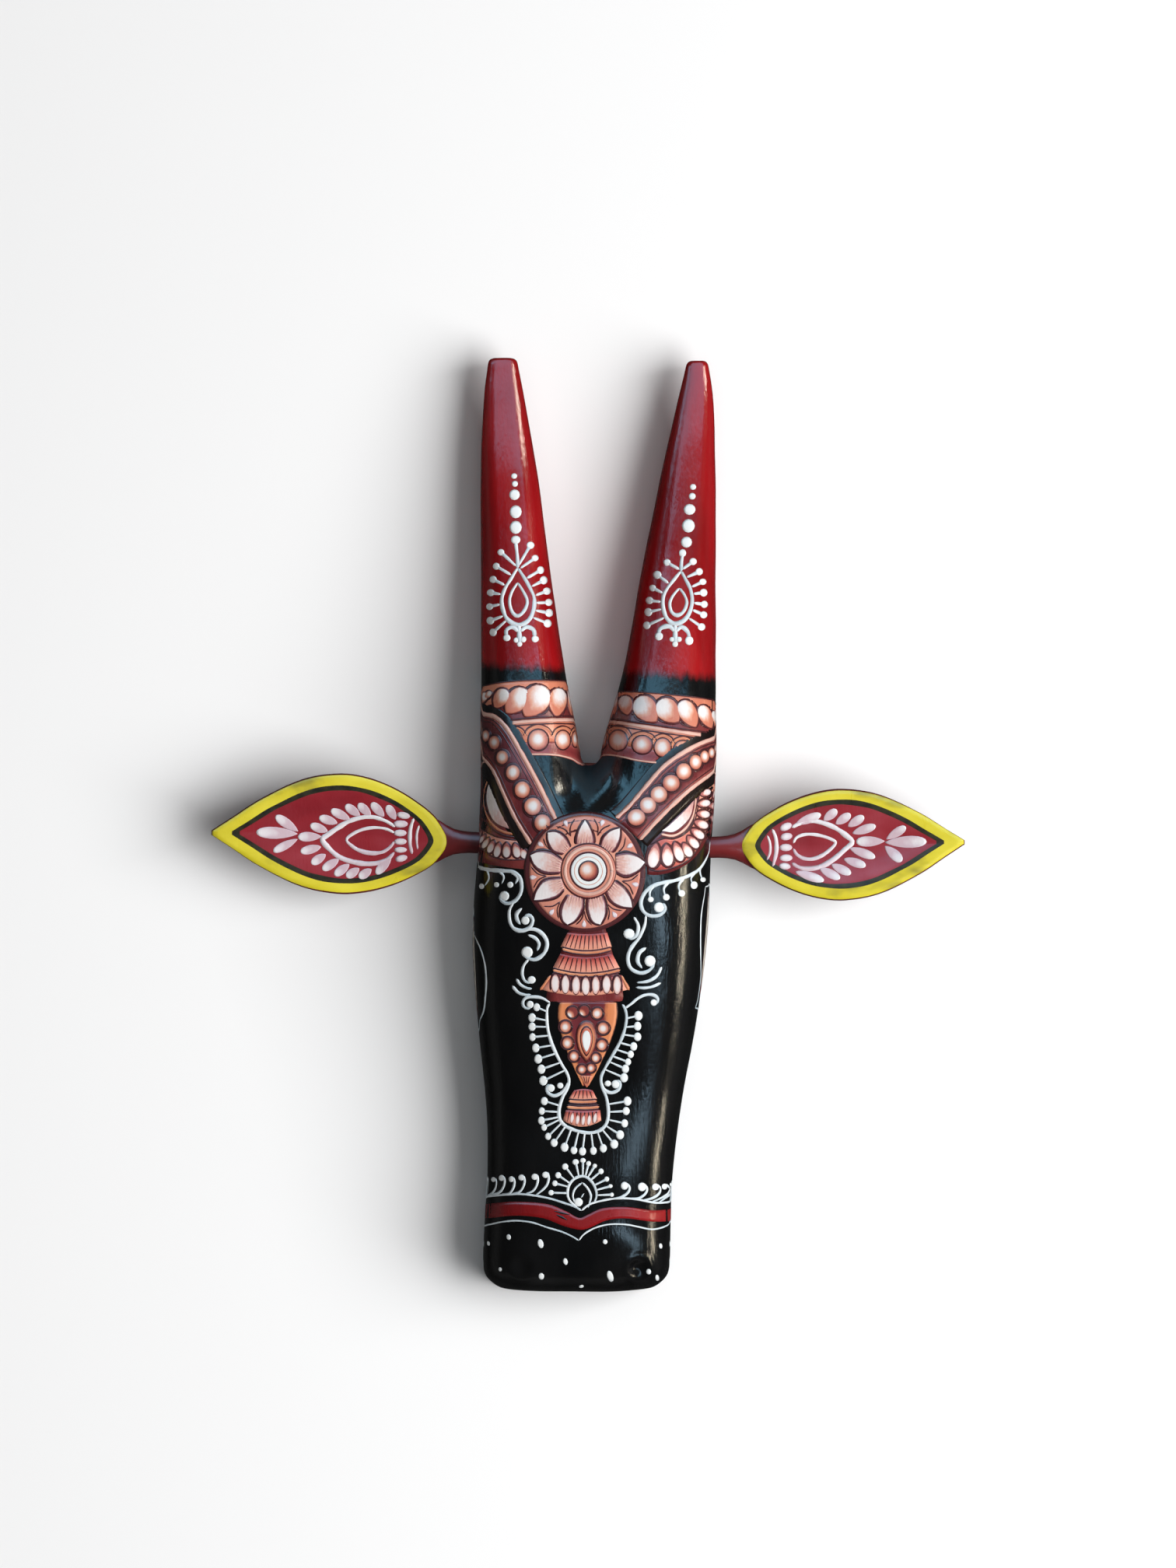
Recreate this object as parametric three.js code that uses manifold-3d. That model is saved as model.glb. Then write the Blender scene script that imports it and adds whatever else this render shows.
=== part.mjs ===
// A painted wooden cow mask, lying on its flat back. The face and both horns are carved from one
// block, and two leaf-shaped ears stand out sideways on stems that are let into the head.
// Sizes are in millimetres. +Z points out of the face, +Y up the face towards the horn tips, and
// +X to the right of someone who looks at the face.
import * as THREE from "three";
import { mergeVertices } from "three/addons/utils/BufferGeometryUtils.js";
import Module from "manifold-3d";

const wasm = await Module();
wasm.setup();

// Whole mask
const HALF_LENGTH = 180.6; // muzzle end and left horn tip are this far from the middle
const HALF_SPAN = 145.3; // ear tips, each side of the middle
const CLEARANCE = 0.3; // between a stem and its socket

// The face: left and right edge and depth above the flat back, at heights up the face
const FACE = [
  { at: -HALF_LENGTH, left: -40.2, right: 31.2, depth: 41 },
  { at: -160, left: -40.4, right: 31.8, depth: 45.5 },
  { at: -132, left: -38.8, right: 33, depth: 44.5 },
  { at: -105, left: -39.6, right: 36.6, depth: 46 },
  { at: -78, left: -42.5, right: 41.6, depth: 50 },
  { at: -42, left: -44.6, right: 46.1, depth: 55.5 },
  { at: -10, left: -42.6, right: 47.6, depth: 59 },
  { at: 8, left: -41.6, right: 48.8, depth: 58.5 },
  { at: 30, left: -41.2, right: 49.4, depth: 54 },
];
const FACE_SQUARENESS = 3.1; // 2 is an ellipse, and more is boxier
const BROW_SQUARENESS = 2.3; // of that rounding, seen from the side
const FACE_WIDEST = 15; // height above the back at which a face section is widest
const FACE_UNDERCUT = 30; // depth of the ellipse that turns in below that height
const MUZZLE_CORNER = 10.5; // round corner of the muzzle end, along the face
const MUZZLE_CROWN = 1.2; // how far the middle of the muzzle end stands out
const BROW_START = -2; // where the top of the forehead begins to round over
const BROW_TOP = 22.8; // bottom of the gap between the horns

// The horns: outer and inner edge, depth above the back and lift of the underside
const HORN_START = -26; // inside the head
const HORN_LEFT = {
  tip: 180.6,
  levels: [
    { at: HORN_START, outer: -40, inner: 4, depth: 52, lift: 0 },
    { at: 0, outer: -41.6, inner: 2, depth: 56, lift: 0 },
    { at: 15, outer: -41.4, inner: -0.4, depth: 54, lift: 0 },
    { at: 30, outer: -41.4, inner: -3.3, depth: 50.5, lift: 0 },
    { at: 60, outer: -41.3, inner: -8.9, depth: 43.5, lift: 0 },
    { at: 100, outer: -41.4, inner: -14.8, depth: 36, lift: 1.5 },
    { at: 138, outer: -41.4, inner: -19.8, depth: 29.5, lift: 4.5 },
    { at: 165, outer: -40.3, inner: -24.6, depth: 24, lift: 7.5 },
    { at: 180.6, outer: -38.4, inner: -27.6, depth: 20.6, lift: 9.6 },
  ],
};
const HORN_RIGHT = {
  tip: 179.4,
  levels: [
    { at: HORN_START, outer: 45.6, inner: -1, depth: 52, lift: 0 },
    { at: 0, outer: 48.4, inner: -0.5, depth: 56, lift: 0 },
    { at: 15, outer: 49.1, inner: 2, depth: 54, lift: 0 },
    { at: 30, outer: 49.4, inner: 5.4, depth: 50.5, lift: 0 },
    { at: 60, outer: 49.4, inner: 13.6, depth: 43.5, lift: 0 },
    { at: 100, outer: 49.4, inner: 21, depth: 36, lift: 1.5 },
    { at: 138, outer: 49.3, inner: 28.7, depth: 29.5, lift: 4.5 },
    { at: 165, outer: 48.4, inner: 34.9, depth: 24, lift: 7.5 },
    { at: 179.4, outer: 46.2, inner: 38.2, depth: 20.4, lift: 9.9 },
  ],
};
const HORN_SQUARENESS = 2.55;
const HORN_WIDEST = 0.36; // share of the horn's depth at which its section is widest, at the base
const HORN_UNDERCUT = 1.9; // the lower half of that section, in times the height it has
const HORN_TIP_CORNER = 1.9; // round corner of the cut-off tip
const HORN_TIP_FLAT = 0.62; // share of the tip that is flat

// The ears: plates in their own plane, measured from the tip, and the stems that carry them
const EAR_THICKNESS = 7;
const EAR_SQUARENESS = 4.5; // of a section across the plate, which has flat faces and round edges
const EAR_OUTLINE = [
  // share of the way from root to tip, and share of the half width that the edge reaches
  { at: 0, reach: 0.2 },
  { at: 0.05, reach: 0.37 },
  { at: 0.11, reach: 0.55 },
  { at: 0.22, reach: 0.79 },
  { at: 0.34, reach: 0.95 },
  { at: 0.46, reach: 1 },
  { at: 0.62, reach: 0.89 },
  { at: 0.8, reach: 0.55 },
  { at: 0.92, reach: 0.24 },
  { at: 1, reach: 0.035 },
];
const EAR_HEIGHT = 24; // stem axis above the flat back
const EAR_SCOOP_DEPTH = 2.2;
const EAR_SCOOP_MIDDLE = 0.47; // share of the way from root to tip
const EAR_SCOOP_MARGIN = 7; // from the plate's outline to the hollow in its face
const STEM_RADIUS = 4.2;
const STEM_DEPTH = 13; // how far a stem goes into the head
const STEM_OVERLAP = 9; // how far a stem runs on into its plate
const EAR_LEFT = {
  length: 91.5,
  width: 46.6,
  bow: 1.5, // how far the middle of the plate bends up the face
  rootHeight: -6.3, // of the plate's root, up the face
  turn: THREE.MathUtils.degToRad(177.8), // from +X towards +Y
  roll: THREE.MathUtils.degToRad(-5), // about the stem
};
const EAR_RIGHT = {
  length: 86.6,
  width: 43.2,
  bow: 0,
  rootHeight: -8.3,
  turn: THREE.MathUtils.degToRad(1.1),
  roll: THREE.MathUtils.degToRad(-5),
};
const SIDE_LEFT = -42.4; // the head's side at the ears
const SIDE_RIGHT = 47.6;

// How finely the curves are divided
const FACE_SIDES = 44;
const HORN_SIDES = 32;
const RING_STEP = 8.5; // along the face and the horns
const CORNER_STEPS = 4;
const ROUND_SIDES = 20;
const PLATE_SIDES = 28;
const PLATE_RINGS = 20;
const TIP_CROWDING = 1.3; // above 1, a plate's rings lie closer together towards its tip
const MERGE_DISTANCE = 1e-4; // corners nearer than this are one corner

const PAINTED_BLACK = new THREE.MeshStandardMaterial({
  color: 0x17130f,
  roughness: 0.3,
  metalness: 0,
});
const PAINTED_RED = new THREE.MeshStandardMaterial({
  color: 0x7c1417,
  roughness: 0.35,
  metalness: 0,
});

// A smooth value along the face, through the named levels.
function along(levels, key) {
  const slope = (i) => {
    const a = levels[Math.max(i - 1, 0)];
    const b = levels[Math.min(i + 1, levels.length - 1)];
    return (b[key] - a[key]) / (b.at - a.at);
  };
  return (y) => {
    const last = levels.length - 2;
    const found = levels.findIndex((level) => y < level.at) - 1;
    const i = found === -2 ? last : THREE.MathUtils.clamp(found, 0, last);
    const [a, b] = [levels[i], levels[i + 1]];
    const span = b.at - a.at;
    const t = THREE.MathUtils.clamp((y - a.at) / span, 0, 1);
    const [t2, t3] = [t * t, t * t * t];
    return (
      (2 * t3 - 3 * t2 + 1) * a[key] +
      (t3 - 2 * t2 + t) * span * slope(i) +
      (3 * t2 - 2 * t3) * b[key] +
      (t3 - t2) * span * slope(i + 1)
    );
  };
}

// A cosine or sine raised so that a circle becomes a squarer ring.
const squared = (value, squareness) =>
  Math.sign(value) * Math.abs(value) ** (2 / squareness);

// Turns a lathed body with a radius of 0 to 1 into a carved one. section(y) gives the ring's middle
// and half width, the height where it is widest, its depth in front of and behind that, how square
// it is, the height it shrinks towards where the radius is under 1, and the lowest it may reach.
function carve(profile, sides, section) {
  const geometry = new THREE.LatheGeometry(profile, sides);
  const position = geometry.getAttribute("position");
  for (let i = 0; i < position.count; i++) {
    const reach = Math.hypot(position.getX(i), position.getZ(i));
    const angle = Math.atan2(position.getZ(i), position.getX(i));
    const y = position.getY(i);
    const { middle, half, widest, front, back, squareness, anchor, floor } = section(y);
    const across = half * squared(Math.cos(angle), squareness);
    const rise = squared(Math.sin(angle), squareness);
    const z = Math.max(widest + (rise > 0 ? front : back) * rise, floor);
    position.setXYZ(i, middle + reach * across, y, anchor + reach * (z - anchor));
  }
  return geometry;
}

// Rings from start to end, evenly spaced, each with a radius of 1.
function evenRings(start, end) {
  const count = Math.ceil((end - start) / RING_STEP);
  return Array.from(
    { length: count + 1 },
    (_, i) => new THREE.Vector2(1, start + ((end - start) * i) / count),
  );
}

function faceGeometry() {
  const left = along(FACE, "left");
  const right = along(FACE, "right");
  const depth = along(FACE, "depth");
  const start = -HALF_LENGTH;
  const halfAt = (y) => (right(y) - left(y)) / 2;
  const cornerShare = MUZZLE_CORNER / halfAt(start + MUZZLE_CORNER);
  const corner = Array.from({ length: CORNER_STEPS }, (_, i) => {
    const angle = (i / CORNER_STEPS) * (Math.PI / 2);
    return new THREE.Vector2(
      1 - cornerShare + cornerShare * Math.sin(angle),
      start + MUZZLE_CROWN + (MUZZLE_CORNER - MUZZLE_CROWN) * (1 - Math.cos(angle)),
    );
  });
  const brow = Array.from({ length: 2 * CORNER_STEPS }, (_, i) => {
    const angle = ((i + 1) / (2 * CORNER_STEPS)) * (Math.PI / 2);
    return new THREE.Vector2(
      i === 2 * CORNER_STEPS - 1 ? 0 : squared(Math.cos(angle), BROW_SQUARENESS),
      BROW_START + (BROW_TOP - BROW_START) * squared(Math.sin(angle), BROW_SQUARENESS),
    );
  });
  const profile = [
    new THREE.Vector2(0, start),
    ...corner,
    ...evenRings(start + MUZZLE_CORNER, BROW_START),
    ...brow,
  ];
  return carve(profile, FACE_SIDES, (y) => ({
    middle: (left(y) + right(y)) / 2,
    half: halfAt(y),
    widest: FACE_WIDEST,
    front: depth(y) - FACE_WIDEST,
    back: FACE_UNDERCUT,
    squareness: FACE_SQUARENESS,
    anchor: 0,
    floor: 0,
  }));
}

function hornGeometry({ tip, levels }) {
  const outer = along(levels, "outer");
  const inner = along(levels, "inner");
  const depth = along(levels, "depth");
  const lift = along(levels, "lift");
  const corner = Array.from({ length: CORNER_STEPS }, (_, i) => {
    const angle = ((i + 1) / CORNER_STEPS) * (Math.PI / 2);
    return new THREE.Vector2(
      HORN_TIP_FLAT + (1 - HORN_TIP_FLAT) * Math.cos(angle),
      tip - HORN_TIP_CORNER * (1 - Math.sin(angle)),
    );
  });
  const profile = [
    new THREE.Vector2(0, HORN_START),
    ...evenRings(HORN_START, tip - HORN_TIP_CORNER),
    ...corner,
    new THREE.Vector2(0, tip),
  ];
  return carve(profile, HORN_SIDES, (y) => {
    // The section is a full round at the tip and is cut flat by the back of the block at the base
    const roundness = THREE.MathUtils.smoothstep(y, BROW_TOP, tip);
    const share = THREE.MathUtils.lerp(HORN_WIDEST, 0.5, roundness);
    const widest = lift(y) + share * (depth(y) - lift(y));
    const undercut = THREE.MathUtils.lerp(HORN_UNDERCUT, 1, roundness);
    return {
      middle: (outer(y) + inner(y)) / 2,
      half: Math.abs(outer(y) - inner(y)) / 2,
      widest,
      front: depth(y) - widest,
      back: undercut * (widest - lift(y)),
      squareness: HORN_SQUARENESS,
      anchor: widest,
      floor: 0,
    };
  });
}

// A leaf-shaped plate with rounded edges, from its root at the origin to its tip along X.
function plateGeometry({ length, width, bow }) {
  const reach = along(EAR_OUTLINE, "reach");
  const rings = Array.from({ length: PLATE_RINGS + 1 }, (_, i) => {
    const share = 1 - (1 - i / PLATE_RINGS) ** TIP_CROWDING;
    return new THREE.Vector2(1, share * length);
  });
  const profile = [new THREE.Vector2(0, 0), ...rings, new THREE.Vector2(0, length)];
  const geometry = carve(profile, PLATE_SIDES, (y) => ({
    middle: bow * Math.sin((Math.PI * y) / length),
    half: (reach(y / length) * width) / 2,
    widest: 0,
    front: EAR_THICKNESS / 2,
    back: EAR_THICKNESS / 2,
    squareness: EAR_SQUARENESS,
    anchor: 0,
    floor: -EAR_THICKNESS,
  }));
  return geometry.rotateZ(-Math.PI / 2);
}

// Corner numbers of a merged mesh, without the triangles that shrink to a line at a pole.
function wholeTriangles(corners) {
  const kept = [];
  for (let i = 0; i < corners.length; i += 3) {
    const [a, b, c] = corners.slice(i, i + 3);
    if (a !== b && b !== c && c !== a) kept.push([a, b, c]);
  }
  return kept;
}

// A closed geometry as a solid that faces outwards, whichever way its own triangles run.
function solidOf(geometry) {
  const bare = geometry.clone();
  bare.deleteAttribute("normal");
  bare.deleteAttribute("uv");
  const merged = mergeVertices(bare, MERGE_DISTANCE);
  const triangles = wholeTriangles(merged.index.array);
  const make = (list) =>
    new wasm.Manifold(
      new wasm.Mesh({
        numProp: 3,
        vertProperties: merged.getAttribute("position").array,
        triVerts: new Uint32Array(list.flat()),
      }),
    );
  const solid = make(triangles);
  return solid.volume() > 0 ? solid : make(triangles.map(([a, b, c]) => [a, c, b]));
}

function geometryOf(solid) {
  const { vertProperties, triVerts } = solid.getMesh();
  const geometry = new THREE.BufferGeometry();
  geometry.setAttribute("position", new THREE.BufferAttribute(vertProperties, 3));
  geometry.setIndex(new THREE.BufferAttribute(triVerts, 1));
  return geometry;
}

// A round bar along X from start to end.
function bar(radius, start, end) {
  const geometry = new THREE.CylinderGeometry(radius, radius, end - start, ROUND_SIDES);
  geometry.rotateZ(Math.PI / 2);
  geometry.translate((start + end) / 2, 0, 0);
  return geometry;
}

// In an ear's own frame the stem lies along X, the plate starts at 0 and its face looks along +Z.
function earSolid(ear, reachIn) {
  const scoop = new THREE.SphereGeometry(1, ROUND_SIDES, ROUND_SIDES / 2);
  scoop.scale(
    ear.length / 2 - EAR_SCOOP_MARGIN,
    ear.width / 2 - EAR_SCOOP_MARGIN,
    EAR_SCOOP_DEPTH,
  );
  scoop.translate(ear.length * EAR_SCOOP_MIDDLE, -ear.bow, EAR_THICKNESS / 2);
  const stem = bar(STEM_RADIUS, -reachIn, STEM_OVERLAP);
  return solidOf(plateGeometry(ear)).add(solidOf(stem)).subtract(solidOf(scoop));
}

// How far left or right the plate's root lies, so that the tip reaches the mask's full span.
const rootAcross = (ear) =>
  Math.sign(Math.cos(ear.turn)) * HALF_SPAN - ear.length * Math.cos(ear.turn);

// Places an object with an ear's root, turn and roll.
function placeEar(object, ear) {
  object.position.set(rootAcross(ear), ear.rootHeight, EAR_HEIGHT);
  object.rotation.set(ear.roll, 0, ear.turn, "ZXY");
  return object;
}

function earMesh(name, ear, side) {
  const reachIn = Math.abs(rootAcross(ear) - side) + STEM_DEPTH;
  const mesh = new THREE.Mesh(geometryOf(earSolid(ear, reachIn)), PAINTED_RED);
  mesh.name = name;
  return placeEar(mesh, ear);
}

// The hole in the head's side that takes an ear's stem, a little wider and deeper than the stem.
function socketSolid(ear, side) {
  const reachIn = Math.abs(rootAcross(ear) - side) + STEM_DEPTH + CLEARANCE;
  const geometry = bar(STEM_RADIUS + CLEARANCE, -reachIn, STEM_OVERLAP);
  const placed = placeEar(new THREE.Object3D(), ear);
  placed.updateMatrix();
  return solidOf(geometry.applyMatrix4(placed.matrix));
}

function headMesh() {
  const head = solidOf(faceGeometry())
    .add(solidOf(hornGeometry(HORN_LEFT)))
    .add(solidOf(hornGeometry(HORN_RIGHT)))
    .subtract(socketSolid(EAR_LEFT, SIDE_LEFT))
    .subtract(socketSolid(EAR_RIGHT, SIDE_RIGHT));
  const mesh = new THREE.Mesh(geometryOf(head), PAINTED_BLACK);
  mesh.name = "head";
  return mesh;
}

const mask = new THREE.Group();
mask.add(
  headMesh(),
  earMesh("ear_left", EAR_LEFT, SIDE_LEFT),
  earMesh("ear_right", EAR_RIGHT, SIDE_RIGHT),
);

export default mask;
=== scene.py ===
# %% [markdown]
# A painted wooden cow mask lies on its flat back: a long black face, two straight red horns, and
# two leaf-shaped ears on round stems. Face and horns are carved from one block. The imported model
# gives every size and place. Here the block gets a smooth carved skin, and the painter's work is
# laid on it as thin raised paint, so that each line and bead catches the light as varnished
# paint does.

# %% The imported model, held as a fixed frame
import math
import random

import bmesh
import bpy
from mathutils import Matrix, Vector, noise
from mathutils.bvhtree import BVHTree
from mathutils.kdtree import KDTree


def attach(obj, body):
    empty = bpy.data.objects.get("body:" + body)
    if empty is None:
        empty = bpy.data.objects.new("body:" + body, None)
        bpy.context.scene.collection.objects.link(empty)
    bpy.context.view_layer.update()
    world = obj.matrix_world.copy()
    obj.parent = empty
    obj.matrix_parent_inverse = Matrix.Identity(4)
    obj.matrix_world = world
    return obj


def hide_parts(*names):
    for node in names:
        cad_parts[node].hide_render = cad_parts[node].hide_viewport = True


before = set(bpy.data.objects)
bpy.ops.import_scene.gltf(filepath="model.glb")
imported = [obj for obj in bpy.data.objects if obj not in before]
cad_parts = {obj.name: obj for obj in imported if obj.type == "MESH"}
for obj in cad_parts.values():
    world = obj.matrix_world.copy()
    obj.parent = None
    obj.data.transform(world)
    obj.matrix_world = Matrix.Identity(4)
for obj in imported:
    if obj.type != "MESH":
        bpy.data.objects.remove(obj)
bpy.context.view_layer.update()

MM = 0.001
scene = bpy.context.scene
hand = random.Random(7)  # the small unevenness of a hand, the same in every run


def show(name, data):
    """Makes an object of a mesh, a lamp or a camera and puts it into the scene."""
    made = bpy.data.objects.new(name, data)
    scene.collection.objects.link(made)
    return made


# %% [markdown]
# The picture looks straight down on the mask. A long lens from far above keeps the horns as
# straight as they are in the picture. The marks further down are placed on squared paper laid
# over the same view: one square is 0.3 mm, and paper() turns a place on it into metres.

# %% Camera and squared paper
EYE = Vector((0, 15.9, 5000)) * MM
LOOK_HEIGHT = 25 * MM  # the level at which the squared paper lies
VIEW_TALL = 604.8 * MM
SENSOR = 36.0
SQUARE = 0.3 * MM
PAPER_MIDDLE = (756, 1061)

camera = show("camera", bpy.data.cameras.new("camera"))
camera.data.sensor_fit = "VERTICAL"
camera.data.sensor_height = SENSOR
camera.data.lens = SENSOR * (EYE.z - LOOK_HEIGHT) / VIEW_TALL
camera.data.dof.use_dof = False
camera.location = EYE
scene.camera = camera


def paper(across, down):
    x = (across - PAPER_MIDDLE[0]) * SQUARE
    y = (PAPER_MIDDLE[1] - down) * SQUARE
    return Vector((x, y, LOOK_HEIGHT))


print("lens", round(camera.data.lens), "mm")

# %% [markdown]
# The face and the horns are measured as a row of cross-sections: left edge, right edge and depth
# at heights up the face. Each section is a squarish oval that is cut flat by the back of the
# block. A smooth curve through the measures gives a section at any height.

# %% Sections of the face and the horns, in millimetres
FACE = [
    (-180.6, -40.2, 31.2, 41), (-160, -40.4, 31.8, 45.5), (-132, -38.8, 33, 44.5),
    (-105, -39.6, 36.6, 46), (-78, -42.5, 41.6, 50), (-42, -44.6, 46.1, 55.5),
    (-10, -42.6, 47.6, 59), (8, -41.6, 48.8, 58.5), (30, -41.2, 49.4, 54),
]
HORN_LEFT = [
    (-26, -40, 4, 52, 0), (0, -41.6, 2, 56, 0), (15, -41.4, -0.4, 54, 0),
    (30, -41.4, -3.3, 50.5, 0), (60, -41.3, -8.9, 43.5, 0), (100, -41.4, -14.8, 36, 1.5),
    (138, -41.4, -19.8, 29.5, 4.5), (165, -40.3, -24.6, 24, 7.5), (180.6, -38.4, -27.6, 20.6, 9.6),
]
HORN_RIGHT = [
    (-26, -1, 45.6, 52, 0), (0, -0.5, 48.4, 56, 0), (15, 2, 49.1, 54, 0),
    (30, 5.4, 49.4, 50.5, 0), (60, 13.6, 49.4, 43.5, 0), (100, 21, 49.4, 36, 1.5),
    (138, 28.7, 49.3, 29.5, 4.5), (165, 34.9, 48.4, 24, 7.5), (179.4, 38.2, 46.2, 20.4, 9.9),
]
FACE_SQUARENESS, HORN_SQUARENESS = 3.1, 2.55  # 2 is an ellipse, and more is boxier
PAINT_ROOM = 1.3  # the wood stays this far under the measured depth, for the paint on it


def through(levels, column):
    def slope(i):
        a, b = levels[max(i - 1, 0)], levels[min(i + 1, len(levels) - 1)]
        return (b[column] - a[column]) / (b[0] - a[0])

    def value(y):
        i = 0
        while i < len(levels) - 2 and y >= levels[i + 1][0]:
            i += 1
        a, b = levels[i], levels[i + 1]
        span = b[0] - a[0]
        t = min(max((y - a[0]) / span, 0), 1)
        return ((2 * t**3 - 3 * t**2 + 1) * a[column] + (t**3 - 2 * t**2 + t) * span * slope(i)
                + (3 * t**2 - 2 * t**3) * b[column] + (t**3 - t**2) * span * slope(i + 1))

    return value


def squared(value, squareness):
    return math.copysign(abs(value) ** (2 / squareness), value)


def smoothly(value, start, end):
    t = min(max((value - start) / (end - start), 0), 1)
    return t * t * (3 - 2 * t)


def mix(a, b, share):
    return a + (b - a) * share


def face_point(y, angle, reach=1.0):
    left, right, depth = (through(FACE, column)(y) for column in (1, 2, 3))
    across = (right - left) / 2 * squared(math.cos(angle), FACE_SQUARENESS)
    rise = squared(math.sin(angle), FACE_SQUARENESS)
    z = max(15 + (depth - PAINT_ROOM - 15 if rise > 0 else 30) * rise, 0)
    return Vector(((left + right) / 2 + reach * across, y, reach * z))


def horn_point(levels, y, angle, reach=1.0):
    left, right, depth, lift = (through(levels, column)(y) for column in (1, 2, 3, 4))
    roundness = smoothly(y, 22.8, levels[-1][0])
    widest = lift + mix(0.36, 0.5, roundness) * (depth - lift)
    under = mix(1.9, 1, roundness) * (widest - lift)
    across = (right - left) / 2 * squared(math.cos(angle), HORN_SQUARENESS)
    rise = squared(math.sin(angle), HORN_SQUARENESS)
    z = max(widest + (depth - PAINT_ROOM - widest if rise > 0 else under) * rise, 0)
    return Vector(((left + right) / 2 + reach * across, y, widest + reach * (z - widest)))


print("face at the brow", [round(v, 1) for v in face_point(0, math.pi / 2)])

# %% [markdown]
# The block could be three lofts joined by a boolean, but that leaves a crease where each horn
# starts, and varnish shows every crease. A carver runs the gouge from the forehead into the horn
# in one sweep. So one coarse cage of four-sided faces is drawn out of a single ring: up the face,
# then split at the crotch into two rings that run on up the horns. Subdivision makes it smooth.

# %% The cage: a ring drawn up the face
RING = 24  # corners of a ring: 0 right, 6 front, 12 left, 18 back
FRONT, BACK = 6, 18
CROTCH = [  # from the front of the forehead over the crotch to the back: height, depth, in mm
    (7.5, 55), (11.5, 49.5), (14.8, 42.5), (17.4, 34.5), (19.5, 26), (21.1, 17), (22.3, 8),
    (22.8, 0), (19.5, 0), (16, 0), (12.5, 0),
]
BRANCH = 3  # the last ring of the face, in mm
FACE_RINGS = [-160, -148, -136, -124, -112, -100, -88, -76, -64, -52, -40, -28, -17, -7, BRANCH]
MUZZLE_CORNER, MUZZLE_CROWN = 10.5, 1.2


def ring_angle(i, front, base):
    """The angle of corner i where corner 6 stands at front, and the back's rim at base."""
    if i <= 6:
        return math.radians(front * i / 6)
    if i <= 12:
        return math.radians(front + (180 - front) * (i - 6) / 6)
    steps = [0, base / 2, base] + [base + (90 - base) * k / 4 for k in (1, 2, 3, 4)]
    return math.radians(180 + steps[i - 12] if i <= 18 else 360 - steps[24 - i])


def rim_angle(widest, under, squareness):
    """How far below its widest place a section meets the flat back, in degrees."""
    return math.degrees(math.asin((widest / under) ** (squareness / 2)))


def face_ring(y, reach=1.0):
    front = 90 + 3 * smoothly(y, -60, BRANCH)
    base = rim_angle(15, 30, FACE_SQUARENESS)
    return [face_point(y, ring_angle(i, front, base), reach) for i in range(RING)]


def draw_on(edges, ring, places):
    """Draws a ring's edges out to new places and returns the new ring and its edges."""
    made = bmesh.ops.extrude_edge_only(cage, edges=edges)["geom"]
    fresh = {v for v in made if isinstance(v, bmesh.types.BMVert)}
    new_ring = []
    for corner in ring:
        follower = next(e.other_vert(corner) for e in corner.link_edges
                        if e.other_vert(corner) in fresh)
        new_ring.append(follower)
    for corner, place in zip(new_ring, places):
        corner.co = place
    new_edges = [e for e in made if isinstance(e, bmesh.types.BMEdge)
                 and e.verts[0] in fresh and e.verts[1] in fresh]
    return new_ring, new_edges


def close(ring):
    bmesh.ops.contextual_create(cage, geom=[e for e in cage.edges
                                            if e.verts[0] in ring and e.verts[1] in ring])


cage = bmesh.new()
ring = bmesh.ops.create_circle(cage, segments=RING, radius=1)["verts"]
half = (face_point(-170, 0) - face_point(-170, math.pi)).x / 2
share = MUZZLE_CORNER / half
muzzle = [(-180.56, 0.2), (-180.3, 0.45)]
for turn in (0, 30, 60, 90):
    bend = math.radians(turn)
    muzzle.append((-180.6 + MUZZLE_CROWN + (MUZZLE_CORNER - MUZZLE_CROWN) * (1 - math.cos(bend)),
                   1 - share + share * math.sin(bend)))
for corner, place in zip(ring, face_ring(*muzzle[0])):
    corner.co = place
close(set(ring))
edges = cage.edges[:]
for y, reach in muzzle[1:] + [(y, 1.0) for y in FACE_RINGS]:
    ring, edges = draw_on(edges, ring, face_ring(y, reach))
print("face cage", len(cage.verts), "corners")

# %% The cage: the crotch, the two horns and their tips
walk, step = [], ring[FRONT]
for y, z in CROTCH:
    made = bmesh.ops.extrude_vert_indiv(cage, verts=[step])
    step = made["verts"][0]
    step.co = (0.9 - 0.02 * y, y, z)
    walk.append(step)
bmesh.ops.contextual_create(cage, geom=[step, ring[BACK]])

TIP_CORNER, TIP_FLAT = 1.9, 0.62
HORN_RINGS = [(14, 25.3), (26, 30.5), (38, 39), (50, 50)] + [
    (y, y) for y in (62, 76, 90, 104, 118, 132, 146, 158, 168, 175)]


def horn_ring(levels, outer_y, inner_y, reach=1.0):
    """On the left horn the outer side is corners 6 to 18, and on the right one it is the rest."""
    left = levels is HORN_LEFT
    places = []
    for i in range(RING):
        from_front = min((i - FRONT) % RING, (FRONT - i) % RING)  # 0 in front, 12 at the back
        outer = FRONT <= i <= BACK if left else not FRONT < i < BACK
        inward = 0 if outer else math.sin(math.pi / 2 * min(from_front / 6, 1)) ** 0.7
        if not outer and from_front > 8:
            inward = smoothly(12 - from_front, 0, 4)
        y = mix(outer_y, inner_y, inward)
        front = mix(40, 0, smoothly(y, 0, 110))
        base = rim_angle(1, 1.9, HORN_SQUARENESS)
        angle = ring_angle(i, 90 - front if left else 90 + front, base)
        places.append(horn_point(levels, y, angle, reach))
    return places


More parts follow.
